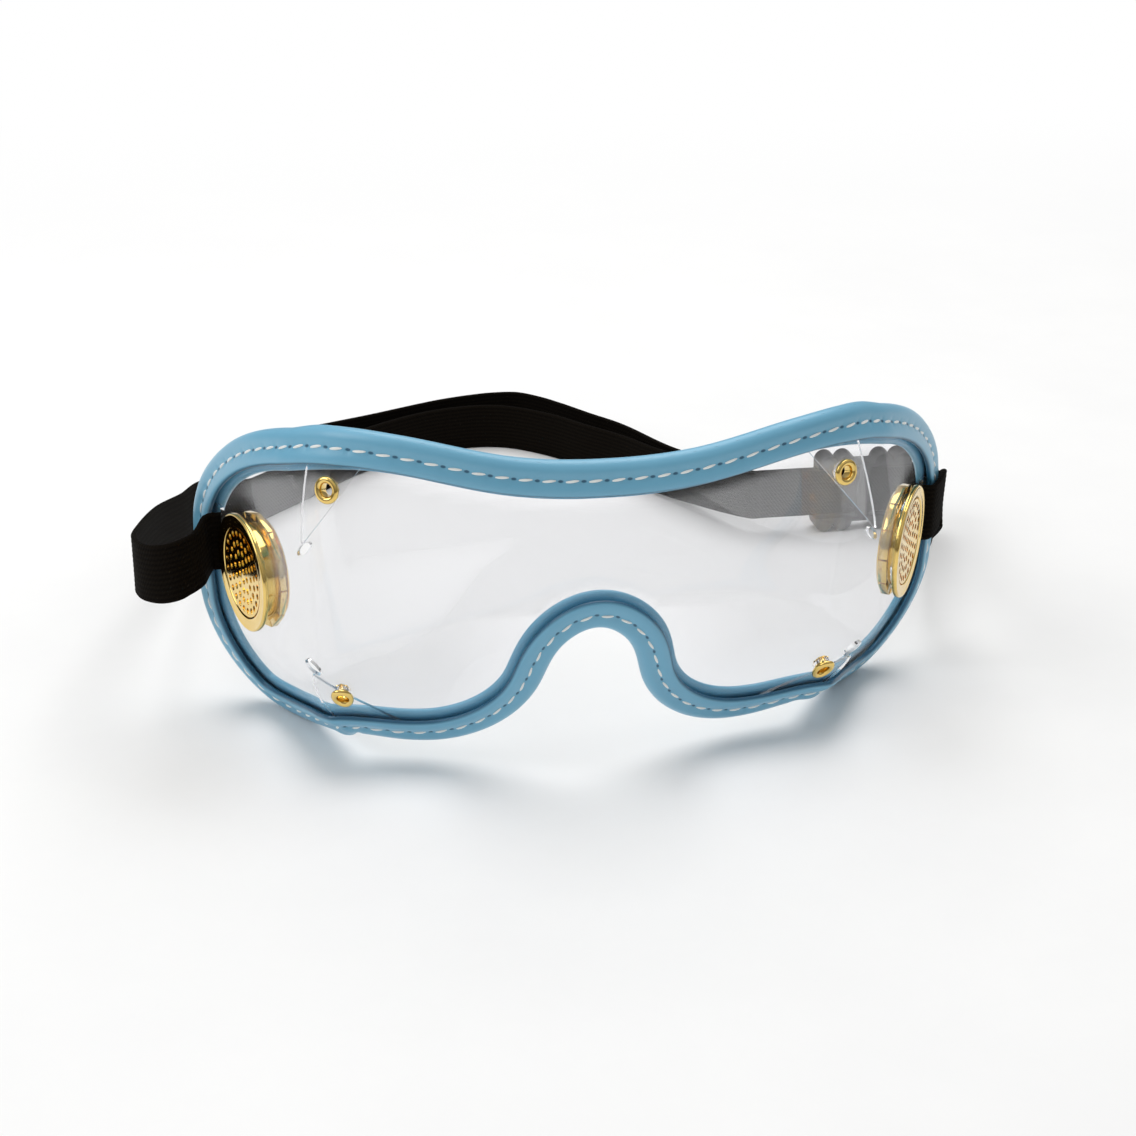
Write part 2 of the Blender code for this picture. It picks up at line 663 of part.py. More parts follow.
def make_vent_washer(name, side, finish):
    """The flat-sided brass washer of a dozen tabs behind the lens."""
    outer = []
    inner = []
    hole = BARREL_RADIUS + FIT_GAP
    tab_radius = VENT_RADIUS - FIT_GAP
    notch = WASHER_NOTCH_WIDTH / VENT_RADIUS / 2
    for tab in range(WASHER_TABS):
        start = 2 * math.pi * tab / WASHER_TABS
        end = 2 * math.pi * (tab + 1) / WASHER_TABS
        corners = [(start, tab_radius - WASHER_NOTCH_DEPTH)]
        corners += [(start + notch, tab_radius), (end - notch, tab_radius)]
        for angle, radius in corners:
            outer.append((radius * math.cos(angle), radius * math.sin(angle)))
            inner.append((hole * math.cos(angle), hole * math.sin(angle)))
    front = washer_front(side)
    back = front - WASHER_THICKNESS
    bm = bmesh.new()
    rings = []
    for (ou, oz), (iu, iz) in zip(outer, inner):
        corners = [(ou, front, oz), (ou, back, oz), (iu, back, iz), (iu, front, iz)]
        rings.append([bm.verts.new((side * VENT_U + u, -f, VENT_Z + z)) for u, f, z in corners])
    ring_tube(bm, rings, closed=True)
    washer = add_object(name, bm, finish, smooth=False)
    bend_object(washer)
    return washer


# Eyelets

def make_eyelet(name, side_shares, side, finish):
    """A small turned eyelet that pins the lapped sheet at a dart."""
    front_face = DART_FRONT + FIT_GAP
    back_face = -LENS_FRONT - FIT_GAP
    barrel = EYELET_HOLE_RADIUS + EYELET_WALL
    crown = front_face + EYELET_FLANGE
    edge = EYELET_FLANGE / 2
    profile = [
        (EYELET_RADIUS, front_face), (EYELET_RADIUS, crown - edge), (EYELET_RADIUS - edge, crown),
        (EYELET_HOLE_RADIUS + edge, crown), (EYELET_HOLE_RADIUS, crown - edge),
        (EYELET_HOLE_RADIUS, back_face - EYELET_FLANGE), (EYELET_RADIUS, back_face - EYELET_FLANGE),
        (EYELET_RADIUS, back_face), (barrel, back_face), (barrel, front_face),
    ]
    eyelet = add_object(name, turned(pattern_place(side_shares, side), profile, SMALL_ROUND_SIDES), finish)
    bend_object(eyelet)
    return eyelet


# Strap

def on_pattern(u, front):
    """A strap point beside the lens at slot height, from its place on the flat pattern."""
    return bent([(u, -front, SLOT_Z)])[0]


def left_end_points():
    """From under the left vent's washer, along the back of the lens and out through the slot."""
    start = VENT_U + CLAMP_SHARE * VENT_RADIUS
    turn = SLOT_U + LEFT_TURN_SHARES[0][0] * STRAP_THICKNESS
    flat = [(start, -STRAP_UNDER_LENS), ((start + turn) / 2, -STRAP_UNDER_LENS)]
    for past_slot, front in LEFT_TURN_SHARES:
        flat.append((SLOT_U + past_slot * STRAP_THICKNESS, front * STRAP_UNDER_LENS))
    return [on_pattern(-u, front) for u, front in flat]


def free_point(x, way_back, climb):
    """A point of the free strap from its place across, its share of the way back and its climb."""
    start = on_pattern(-SLOT_U, 0)[1]
    y = start + way_back * (STRAP_DEPTH - start)
    return np.array([x, y, TABLE_HEIGHT + climb * (SLOT_Z - TABLE_HEIGHT)])


def loop_points():
    slot_x = on_pattern(-SLOT_U, 0)[0]
    return [free_point(slot_x - x * LOOP_BULGE, y, climb) for x, y, climb in LOOP_SHARES]


def run_points(shares):
    return [free_point(x * LOOP_HALF_WIDTH, y, climb) for x, y, climb in shares]


def slide_run_points(layer):
    """The straight stretch that the slide travels on; layer is 1 outside and -1 inside."""
    y = RUN_DEPTH + layer * STRAP_LAYER_STEP / 2
    lead = SLIDE_END_BAR_WIDTH
    straight = np.linspace(RUN_START_DISTANCE, LOOP_HALF_WIDTH - lead, 3)
    return [np.array([x, y, RUN_HEIGHT]) for x in (RUN_START_DISTANCE - lead, *straight, LOOP_HALF_WIDTH)]


def corner_points(layer):
    """The turn at the back right corner, both layers about one centre."""
    radius = CORNER_RADIUS + layer * STRAP_LAYER_STEP / 2
    centre = np.array([LOOP_HALF_WIDTH, RUN_DEPTH - CORNER_RADIUS])
    points = []
    for angle in np.linspace(0, CORNER_TURN, CORNER_POINTS + 1)[1:]:
        flat = centre + radius * np.array([math.sin(angle), math.cos(angle)])
        points.append(np.array([*flat, RUN_HEIGHT]))
    return points


def side_run_points(layer):
    """From the back corner forward and up to the right temple."""
    start = corner_points(layer)[-1]
    end = on_pattern(OUTLINE[:, 0].max() + STRAP_THICKNESS / 2, layer * STRAP_OVER_FLAP)
    points = []
    for share in SIDE_RUN_SHARES:
        point = start + share * (end - start)
        point[0] -= SIDE_RUN_BOW * math.sin(math.pi * share)
        point[2] = start[2] + share ** 2 * (end[2] - start[2])
        points.append(point)
    return points + [end]


def hairpin_points():
    """Round the right edge of the lens: from behind it, through the slot and over the binding."""
    reach = STRAP_OVER_FLAP
    apex = SLOT_U - STRAP_THICKNESS / 4
    back = [on_pattern(apex + past * reach, -front * reach) for past, front in HAIRPIN_SHARES]
    front = [on_pattern(apex + past * reach, front * reach) for past, front in HAIRPIN_SHARES]
    return back + front[::-1]


def strap_route():
    """The strap's middle line from the left vent to its free tail, all in one piece."""
    inner = slide_run_points(-1) + corner_points(-1) + side_run_points(-1)
    outer = slide_run_points(1) + corner_points(1) + side_run_points(1)
    return (left_end_points() + loop_points() + run_points(MAIN_RUN_SHARES) + inner
            + hairpin_points() + outer[::-1] + run_points(TAIL_SHARES))


def through(points, step):
    """A smooth line through points (centripetal Catmull-Rom), straight where they are in line."""
    points = [2 * points[0] - points[1]] + points + [2 * points[-1] - points[-2]]
    line = []
    for p0, p1, p2, p3 in zip(points, points[1:], points[2:], points[3:]):
        t1 = math.sqrt(np.linalg.norm(p1 - p0))
        t2 = t1 + math.sqrt(np.linalg.norm(p2 - p1))
        t3 = t2 + math.sqrt(np.linalg.norm(p3 - p2))
        pieces = max(2, math.ceil(np.linalg.norm(p2 - p1) / step))
        for t in np.linspace(t1, t2, pieces, endpoint=False):
            a1 = p0 + (p1 - p0) * t / t1
            a2 = p1 + (p2 - p1) * (t - t1) / (t2 - t1)
            a3 = p2 + (p3 - p2) * (t - t2) / (t3 - t2)
            b1 = a1 + (a2 - a1) * t / t2
            b2 = a2 + (a3 - a2) * (t - t1) / (t3 - t1)
            line.append(b1 + (b2 - b1) * (t - t1) / (t2 - t1))
    return np.array(line + [points[-2]])


def make_strap(finish):
    line = through(strap_route(), STRAP_STEP)
    line[:, 2] = np.maximum(line[:, 2], TABLE_HEIGHT)
    along = np.gradient(line, axis=0)
    along /= np.linalg.norm(along, axis=1)[:, None]
    bm = bmesh.new()
    rings = []
    for point, direction in zip(line, along):
        up = np.array([0, 0, 1]) - direction * direction[2]
        up /= np.linalg.norm(up)
        out = np.cross(direction, up)
        high, wide = up * STRAP_WIDTH / 2, out * STRAP_THICKNESS / 2
        corners = [point - high - wide, point - high + wide, point + high + wide, point + high - wide]
        rings.append([bm.verts.new(corner) for corner in corners])
    ring_tube(bm, rings, closed=False)
    bmesh.ops.triangulate(bm, faces=bm.faces[:])
    strap = add_object("strap", bm, finish)
    cutter = prism(circle((-VENT_U, VENT_Z), BARREL_RADIUS + FIT_GAP, ROUND_SIDES), OVERRUN, -3 * OVERRUN)
    for vert, place in zip(cutter.verts, bent([vert.co[:] for vert in cutter.verts])):
        vert.co = place
    boolean(strap, [cutter], "DIFFERENCE")
    settle(strap, line[0])
    return strap


# Slide

def rail_outline(up):
    """Side rail of the slide: straight inside, two rounded lobes at each end outside."""
    first = SLIDE_HALF_LENGTH - SLIDE_LOBE_RADIUS
    lobes = [-first, -first + 2 * SLIDE_LOBE_RADIUS, first - 2 * SLIDE_LOBE_RADIUS, first]
    points = [(-SLIDE_HALF_LENGTH, SLIDE_INNER)]
    for lobe in lobes:
        for turn in range(LOBE_PIECES + 1):
            angle = math.pi - turn * math.pi / LOBE_PIECES
            height = SLIDE_LOBE_HEIGHT + SLIDE_LOBE_RADIUS * math.sin(angle)
            points.append((lobe + SLIDE_LOBE_RADIUS * math.cos(angle), height))
    points.append((SLIDE_HALF_LENGTH, SLIDE_INNER))
    return [(x, up * z) for x, z in tidy_outline(points)]


def tidy_outline(points):
    """The same outline without points that fall on each other."""
    kept = [points[0]]
    for point in points[1:]:
        if math.dist(point, kept[-1]) > NORMAL_STEP:
            kept.append(point)
    return kept


def bar(low_x, high_x, front, back):
    height = SLIDE_INNER + SLIDE_RAIL_THICKNESS / 2
    return prism([(low_x, -height), (high_x, -height), (high_x, height), (low_x, height)], front, back)


def make_slide(finish):
    """Ladder slide: end bars behind the two strap layers and a centre bar in front of them."""
    depth = SLIDE_HALF_DEPTH
    slide = add_object("strap_slide", prism(rail_outline(1), depth, -depth), finish)
    inner_end = SLIDE_HALF_LENGTH - SLIDE_END_BAR_WIDTH
    centre = SLIDE_CENTRE_BAR_WIDTH / 2
    parts = [
        bar(-SLIDE_HALF_LENGTH + FIT_GAP, -inner_end, -SLIDE_BAR_INNER, -depth + FIT_GAP),
        bar(inner_end, SLIDE_HALF_LENGTH - FIT_GAP, -SLIDE_BAR_INNER, -depth + FIT_GAP),
        bar(-centre, centre, depth - FIT_GAP, SLIDE_BAR_INNER),
        prism(rail_outline(-1), depth, -depth),
    ]
    boolean(slide, parts, "UNION")
    slide.location = (SLIDE_X, RUN_DEPTH, RUN_HEIGHT)
    return slide


# Assembly

def centre_on_footprint():
    """Hangs every piece on one empty, set so that the world origin is under the middle."""
    bpy.context.view_layer.update()
    pieces = list(bpy.data.objects)
    corners = np.array([piece.matrix_world @ Vector(c) for piece in pieces for c in piece.bound_box])
    low, high = corners.min(axis=0), corners.max(axis=0)
    goggles = bpy.data.objects.new("goggles", None)
    bpy.context.scene.collection.objects.link(goggles)
    goggles.location = (-(low[0] + high[0]) / 2, -(low[1] + high[1]) / 2, -low[2])
    for piece in pieces:
        piece.parent = goggles


for old in list(bpy.data.objects):
    bpy.data.objects.remove(old)

CLEAR_VINYL = material("clear_vinyl", (0.92, 0.94, 0.95), 0.05, alpha=0.25)
BLUE_LEATHER = material("blue_leather", (0.20, 0.42, 0.56), 0.45)
WHITE_THREAD = material("white_thread", (0.84, 0.84, 0.80), 0.7)
BRASS = material("brass", (0.86, 0.63, 0.20), 0.2, metallic=1.0)
BLACK_ELASTIC = material("black_elastic", (0.018, 0.015, 0.013), 0.85)
BLACK_PLASTIC = material("black_plastic", (0.02, 0.02, 0.022), 0.4)

make_lens(CLEAR_VINYL)
make_binding(BLUE_LEATHER)
make_thread("seam_thread_front", 1, WHITE_THREAD)
make_thread("seam_thread_back", -1, WHITE_THREAD)
for side, hand in ((-1, "left"), (1, "right")):
    make_vent_rim("vent_rim_" + hand, side, BRASS)
    make_vent_screen("vent_screen_" + hand, side, BRASS)
    make_vent_washer("vent_washer_" + hand, side, BRASS)
    make_eyelet("eyelet_upper_" + hand, UPPER_EYELET_SHARES, side, BRASS)
    make_eyelet("eyelet_lower_" + hand, LOWER_EYELET_SHARES, side, BRASS)
make_strap(BLACK_ELASTIC)
make_slide(BLACK_PLASTIC)
centre_on_footprint()
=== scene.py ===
# %% [markdown]
# # Racing goggles on a pale cloth
# A jockey's goggles are cut from flat sheet: a clear vinyl lens, bound in leather, held in shape
# by darts and brass fittings, with an elastic strap. The CAD frame gives each piece's place and
# how it moves. This lesson makes the surfaces that a camera sees, piece by piece. Sizes are in
# millimetres, and a piece is turned into metres as the last step of its making.

import math

import bpy
import numpy as np
from mathutils import Matrix, Vector


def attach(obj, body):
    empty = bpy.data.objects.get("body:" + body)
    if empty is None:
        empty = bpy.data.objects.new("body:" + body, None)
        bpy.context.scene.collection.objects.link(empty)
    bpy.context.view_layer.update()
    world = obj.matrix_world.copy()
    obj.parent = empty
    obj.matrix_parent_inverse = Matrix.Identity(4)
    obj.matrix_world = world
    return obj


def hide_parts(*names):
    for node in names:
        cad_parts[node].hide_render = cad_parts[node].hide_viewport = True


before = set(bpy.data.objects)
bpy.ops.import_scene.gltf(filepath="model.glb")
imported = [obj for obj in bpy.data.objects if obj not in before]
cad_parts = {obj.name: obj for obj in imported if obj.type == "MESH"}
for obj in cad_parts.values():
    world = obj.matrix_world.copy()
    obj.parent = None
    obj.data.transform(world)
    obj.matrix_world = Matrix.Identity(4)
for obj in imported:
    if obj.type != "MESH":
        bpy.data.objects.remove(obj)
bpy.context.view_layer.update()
BODY = "goggles"
SLIDE_BODY = "slide"
print("CAD nodes:", len(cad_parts))

# %% [markdown]
# ## The camera
# The photograph was taken from a little to the left and 25 degrees above, with a short telephoto
# lens. The camera is placed first, so that each piece can be looked at as soon as it is made.

# %% Camera
MM = 0.001
FOOTPRINT = np.array([-14.141, -104.075, 0.0])
CAMERA_PLACE = np.array([-77.087, -330.471, 210.501])
CAMERA_AZIMUTH = math.radians(-11.932)
CAMERA_ELEVATION = math.radians(25.052)
CAMERA_ROLL = math.radians(1.458)
FOCAL_SHARE = 1910.8 / 1136
SENSOR = 36.0


def camera_matrix():
    """Where the camera stands, with its own axes as the columns."""
    flat = math.cos(CAMERA_ELEVATION)
    back = np.array([
        math.sin(CAMERA_AZIMUTH) * flat, -math.cos(CAMERA_AZIMUTH) * flat, math.sin(CAMERA_ELEVATION),
    ])
    level = np.array([math.cos(CAMERA_AZIMUTH), math.sin(CAMERA_AZIMUTH), 0.0])
    upright = np.cross(level, -back)
    right = math.cos(CAMERA_ROLL) * level + math.sin(CAMERA_ROLL) * upright
    up = math.cos(CAMERA_ROLL) * upright - math.sin(CAMERA_ROLL) * level
    place = (CAMERA_PLACE + FOOTPRINT) * MM
    rows = [[right[k], up[k], back[k], place[k]] for k in range(3)]
    return Matrix(rows + [[0, 0, 0, 1]])


camera = bpy.data.objects.new("camera", bpy.data.cameras.new("camera"))
bpy.context.scene.collection.objects.link(camera)
camera.matrix_world = camera_matrix()
camera.data.sensor_width = SENSOR
camera.data.lens = FOCAL_SHARE * SENSOR
camera.data.clip_start = 0.01
bpy.context.scene.camera = camera
print("lens length, mm:", round(camera.data.lens, 1))

# %% [markdown]
# ## Bending a flat pattern
# Every sheet in these goggles was cut flat and then bent round a face, so the script works the
# same way. A piece is modelled on the flat pattern, where X runs along it, Z is its height and
# -Y is in front. One function then bends it. Seen from above the sheet is a gentle front arc, two
# tight corner arcs and two straight temples. The darts at the corners pull the brow and the
# cheeks in behind that line, which is the tuck.

# %% Sizes of the flat pattern
HALF_LENGTH = 108.7
HEIGHT = 80.0
EDGE_DROP = 0.4
VENT_U, VENT_Z, VENT_RADIUS = 84.03, 40.4, 12.5
CORNER_START, CORNER_END = 50.33, 69.33
END_START, END_END = 96.83, 111.83
SLOT_U, SLOT_Z = 98.73, 41.6
HEADINGS_RIGHT = [0.0, 12.0, 56.4, 56.4, 56.4]
HEADINGS_LEFT = [0.0, 15.1, 70.7, 70.7, 56.9]
TUCK_PLACES = [0.0, 40.0, 61.96, 84.03, 108.05]
BROW_TUCKS = [3.6, 2.1, 7.5, 5.1, 5.6]
CHEEK_TUCKS = [18.8, 21.7, 26.1, 16.7, 10.4]
BROW_POWER, CHEEK_POWER = 1.83, 1.64
NOSE_TUCK_START = 70.2
NOSE_EASE = 10.0
BEND_STEP = 0.2
PLAN_STEP, PLAN_OVERRUN = 0.1, 20.0


# %% The bent surface
def smooth_table(at, places, values):
    """Values between places on a curve that is level at both ends."""
    places, values = np.array(places), np.array(values)
    slopes = np.zeros(len(places))
    slopes[1:-1] = (values[2:] - values[:-2]) / (places[2:] - places[:-2])
    at = np.clip(at, places[0], places[-1])
    i = np.clip(np.searchsorted(places, at, side="right") - 1, 0, len(places) - 2)
    step = places[i + 1] - places[i]
    t = (at - places[i]) / step
    start = values[i] * (1 + 2 * t) * (1 - t) ** 2 + slopes[i] * step * t * (1 - t) ** 2
    end = values[i + 1] * t * t * (3 - 2 * t) + slopes[i + 1] * step * t * t * (t - 1)
    return start + end


def plan_line(headings):
    """Heading, x and y along one half of the lens, seen from above."""
    along = np.arange(0, HALF_LENGTH + PLAN_OVERRUN, PLAN_STEP)
    knots = [0, CORNER_START, CORNER_END, END_START, END_END]
    heading = np.interp(along, knots, np.radians(headings))
    middle = (heading[1:] + heading[:-1]) / 2
    x = np.concatenate([[0], np.cumsum(np.cos(middle)) * PLAN_STEP])
    y = np.concatenate([[0], np.cumsum(np.sin(middle)) * PLAN_STEP])
    return along, heading, x, y


PLAN_RIGHT = plan_line(HEADINGS_RIGHT)
PLAN_LEFT = plan_line(HEADINGS_LEFT)


def tuck(half, z):
    brow_start, cheek_end = VENT_Z + VENT_RADIUS, VENT_Z - VENT_RADIUS
    eased = np.where(half < NOSE_EASE, half ** 2 / (2 * NOSE_EASE) + NOSE_EASE / 2, half)
    cheek_start = np.interp(eased, [0, TUCK_PLACES[2]], [NOSE_TUCK_START, cheek_end])
    above = np.maximum(z - brow_start, 0) / (HEIGHT - brow_start)
    below = np.maximum(cheek_start - z, 0) / cheek_start
    brow = smooth_table(half, TUCK_PLACES, BROW_TUCKS) * above ** BROW_POWER
    return brow + smooth_table(half, TUCK_PLACES, CHEEK_TUCKS) * below ** CHEEK_POWER


def sheet(u, z):
    """Points of the bent sheet's middle surface, in millimetres."""
    half, left = np.abs(u), u < 0
    left_plan = [np.interp(half, PLAN_LEFT[0], column) for column in PLAN_LEFT[1:]]
    right_plan = [np.interp(half, PLAN_RIGHT[0], column) for column in PLAN_RIGHT[1:]]
    heading, x, y = [np.where(left, a, b) for a, b in zip(left_plan, right_plan)]
    pulled = tuck(half, z)
    x, y = x - np.sin(heading) * pulled, y + np.cos(heading) * pulled
    return np.stack([np.where(left, -x, x), y, z + EDGE_DROP], axis=1)


def sheet_normals(u, z):
    """Directions straight out of the front of the bent sheet."""
    across = sheet(u + BEND_STEP, z) - sheet(u - BEND_STEP, z)
    up = sheet(u, z + BEND_STEP) - sheet(u, z - BEND_STEP)
    normal = np.cross(across, up)
    return normal / np.linalg.norm(normal, axis=1)[:, None]


def bent(flat):
    """Bends points of the flat pattern: (along, minus the distance in front, height)."""
    flat = np.asarray(flat, dtype=float).reshape(-1, 3)
    u, z = flat[:, 0], flat[:, 2]
    return sheet(u, z) - sheet_normals(u, z) * flat[:, 1:2]


print("brow centre, mm:", np.round(bent([(0, 0, 74)])[0], 1))


# %% Closed curves on the pattern
HALF_OUTLINE = [
    (0.0, 73.9), (20.0, 75.4), (42.0, 79.5), (69.1, 76.3), (93.5, 65.2), (108.7, 47.4),
    (108.0, 27.4), (99.8, 2.0), (61.5, 6.6), (33.2, 5.5), (16.3, 14.2), (11.3, 22.0), (7.2, 32.2),
    (0.0, 36.6),
]


def closed_spline(points, pieces=40):
    """A smooth closed line through the points; its last point repeats the first."""
    points = np.array(points, dtype=float)
    after = np.roll(points, -1, axis=0)
    step = np.linalg.norm(after - points, axis=1)
    size = len(points)
    system = np.zeros((size, size))
    for i in range(size):
        system[i, i - 1] += step[i - 1]
        system[i, i] += 2 * (step[i - 1] + step[i])
        system[i, (i + 1) % size] += step[i]
    slope = (after - points) / step[:, None]
    bend = np.linalg.solve(system, 6 * (slope - np.roll(slope, 1, axis=0)))
    line = []
    for i in range(size):
        for t in np.arange(pieces) / pieces:
            rest = 1 - t
            curve = (rest ** 3 - rest) * bend[i] + (t ** 3 - t) * bend[(i + 1) % size]
            line.append(rest * points[i] + t * after[i] + step[i] ** 2 / 6 * curve)
    return np.array(line + line[:1])


def run_along(line):
    """How far each point of a line is from its start."""
    return np.concatenate([[0], np.cumsum(np.linalg.norm(np.diff(line, axis=0), axis=1))])


def picked_along(line, run, wanted):
    """The line's points at the wanted distances."""
    return np.stack([np.interp(wanted, run, column) for column in line.T], axis=1)


def even_steps(line, count):
    """Points at equal steps along a closed line whose last point repeats its first."""
    run = run_along(line)
    return picked_along(line, run, np.linspace(0, run[-1], count, endpoint=False))


def inset(line, distance):
    """A clockwise closed line moved inwards."""
    along = np.roll(line, -1, axis=0) - np.roll(line, 1, axis=0)
    along /= np.linalg.norm(along, axis=1)[:, None]
    return line + distance * np.stack([along[:, 1], -along[:, 0]], axis=1)


OUTLINE_SMOOTH = closed_spline(HALF_OUTLINE + [(-u, z) for u, z in HALF_OUTLINE[-2:0:-1]])
print("binding's length on the pattern, mm:", round(run_along(OUTLINE_SMOOTH)[-1]))

# %% [markdown]
# ## Small tools for the bench
# Each piece starts as one of Blender's primitives and is shaped with the same operators that one
# would use by hand. An operator works on all that is selected, so each step first clears the
# selection. Booleans join and cut, and are applied at once.


# %% Selecting, adding and applying
def clear_selection():
    if bpy.context.object and bpy.context.object.mode != "OBJECT":
        bpy.ops.object.mode_set(mode="OBJECT")
    bpy.ops.object.select_all(action="DESELECT")


def added(name):
    """Names the primitive that was just added and puts its place into its mesh."""
    obj = bpy.context.object
    obj.name = obj.data.name = name
    bpy.ops.object.transform_apply(location=True, rotation=True, scale=True)
    return obj


def pick(obj):
    clear_selection()
    obj.select_set(True)
    bpy.context.view_layer.objects.active = obj


def edit(obj):
    """Enters edit mode with everything selected."""
    pick(obj)
    bpy.ops.object.mode_set(mode="EDIT")
    bpy.ops.mesh.select_all(action="SELECT")


def read_points(obj):
    points = np.empty(len(obj.data.vertices) * 3)
    obj.data.vertices.foreach_get("co", points)
    return points.reshape(-1, 3)


def write_points(obj, points):
    obj.data.vertices.foreach_set("co", np.asarray(points, dtype=float).ravel())
    obj.data.update()


def apply_modifier(obj, kind, **settings):
    pick(obj)
    modifier = obj.modifiers.new(kind.lower(), kind)
    for name, value in settings.items():
        setattr(modifier, name, value)
    bpy.ops.object.modifier_apply(modifier=modifier.name)


def boolean(obj, tool, operation):
    """Joins, cuts or trims an object with a tool, which is used up."""
    apply_modifier(obj, "BOOLEAN", object=tool, operation=operation, solver="EXACT")
    bpy.data.objects.remove(tool)


def joined(objects, name):
    clear_selection()
    for obj in objects:
        obj.select_set(True)
    bpy.context.view_layer.objects.active = objects[0]
    if len(objects) > 1:
        bpy.ops.object.join()
    objects[0].name = objects[0].data.name = name
    return objects[0]


def copy_of(obj, name):
    """A copy with a mesh of its own."""
    copy = obj.copy()
    copy.data = obj.data.copy()
    copy.name = copy.data.name = name
    bpy.context.scene.collection.objects.link(copy)
    return copy


def add_map(obj, name, places):
    """A UV map from one place for each of the mesh's points."""
    corners = np.empty(len(obj.data.loops), dtype=np.int32)
    obj.data.loops.foreach_get("vertex_index", corners)
    obj.data.uv_layers.new(name=name).data.foreach_set("uv", places[corners].ravel())


def turn_outwards(obj, merge=0.001):
    edit(obj)
    bpy.ops.mesh.remove_doubles(threshold=merge)
    bpy.ops.mesh.normals_make_consistent(inside=False)
    bpy.ops.object.mode_set(mode="OBJECT")


# %% Placing and finishing
SMOOTH_LIMIT = math.radians(32)


def bend_onto_face(obj):
    """From the flat pattern in millimetres to its place in metres."""
    write_points(obj, (bent(read_points(obj)) + FOOTPRINT) * MM)


def set_down(obj):
    """From millimetres to metres, for a piece that isn't bent with the lens."""
    write_points(obj, (read_points(obj) + FOOTPRINT) * MM)


def finish_piece(obj, material, node, body=BODY, sharp=SMOOTH_LIMIT):
    """Gives a piece its material and its shading, hides the CAD node that it stands for, and hangs it on
    the body that it rides on.
    """
    obj.data.materials.clear()
    obj.data.materials.append(material)
    pick(obj)
    bpy.ops.object.shade_smooth_by_angle(angle=sharp)
    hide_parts(node)
    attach(obj, body)
    print(obj.name, "-", len(obj.data.polygons), "faces")


# %% [markdown]
# ## Finishes
# Each material is named for what it is made of. Patterns read Object coordinates, which are
# metres here, so a scale of 1000 repeats about once a millimetre. Where a pattern has to follow
# a strip, such as the ribs of the elastic, it reads the strip's own UV map.


# %% Colours and nodes
def linear(hex_colour):
    """An sRGB hex colour as the linear values that a shader takes."""
    channels = [int(hex_colour[i:i + 2], 16) / 255 for i in (1, 3, 5)]
    return [c / 12.92 if c <= 0.04045 else ((c + 0.055) / 1.055) ** 2.4 for c in channels] + [1.0]


def add_node(tree, kind, inputs=None, **settings):
    """A node with its settings; an input given an output of another node is linked to it."""
    node = tree.nodes.new("ShaderNode" + kind)
    for name, value in settings.items():
        setattr(node, name, value)
    for socket, value in (inputs or {}).items():
        if isinstance(value, bpy.types.NodeSocket):
            tree.links.new(value, node.inputs[socket])
        else:
            node.inputs[socket].default_value = value
    return node


def new_material(name, colour, **values):
    """A material, its node tree and its Principled shader with plain values set."""
    material = bpy.data.materials.new(name)
    material.use_nodes = True
    tree = material.node_tree
    shader = tree.nodes["Principled BSDF"]
    shader.inputs["Base Color"].default_value = linear(colour)
    for socket, value in values.items():
        shader.inputs[socket.replace("_", " ").title().replace("Ior", "IOR")].default_value = value
    return material, tree, shader


def mixed(tree, factor, first, second):
    """Colour between two hex colours by a factor."""
    mix = add_node(tree, "Mix", {0: factor, 6: linear(first), 7: linear(second)}, data_type="RGBA")
    return mix.outputs[2]


# %% Smooth dyed leather
# Calf leather, dyed light blue and pressed smooth. A fine pebble grain about half a millimetre
# across is left, and the dye clouds slightly. The strip carries a map of its seam: across it in
# millimetres, and along it in stitches, so that a needle hole falls on each whole number. A dark
# teal is painted into those holes, and that is painted shade for the shade inside them. Along the
# front's cut edge the same teal is partly the edge's own darker dye and partly painted shade of the
# gap where that edge stands off the lens. A thin dressing gives the top of each roll its soft
# shine, and that is the shader's coat.
LEATHER_LIGHT, LEATHER_DARK, LEATHER_DYE_AND_SHADE = "#70B0CD", "#67A7C5", "#084C6B"
GRAIN_PER_METRE = 2000
HOLE_HALF_LENGTH, HOLE_HALF_WIDTH = 0.52, 0.28
STITCH_PITCH = 4.5
leather, tree, shader = new_material(
    "smooth_dyed_leather", LEATHER_LIGHT, roughness=0.40, coat_weight=0.35, coat_roughness=0.32)
place = add_node(tree, "TexCoord").outputs["Object"]
clouds = add_node(tree, "TexNoise", {"Vector": place, "Scale": 140.0, "Detail": 4.0})
dyed = mixed(tree, clouds.outputs["Fac"], LEATHER_DARK, LEATHER_LIGHT)
seam_map = add_node(tree, "SeparateXYZ", {0: add_node(tree, "UVMap", uv_map="seam").outputs[0]})
to_hole = add_node(tree, "Math", {0: seam_map.outputs["X"], 1: 0.5}, operation="PINGPONG")
hole_along = add_node(tree, "Math", {
    0: to_hole.outputs[0], 1: STITCH_PITCH / HOLE_HALF_LENGTH,
}, operation="MULTIPLY")
hole_across = add_node(tree, "Math", {
    0: seam_map.outputs["Y"], 1: 1 / HOLE_HALF_WIDTH,
}, operation="MULTIPLY")
from_hole = add_node(tree, "CombineXYZ", {0: hole_along.outputs[0], 1: hole_across.outputs[0]})
hole_radii = add_node(tree, "VectorMath", {0: from_hole.outputs[0]}, operation="LENGTH")
# Painted shade: each needle hole is painted dark, for the shade that falls inside it.
hole_shade = add_node(tree, "MapRange", {
    "Value": hole_radii.outputs["Value"], "From Min": 1.25, "From Max": 0.7, "To Max": 0.9,
})
cut_edge = add_node(tree, "Attribute", attribute_name="cut_edge")
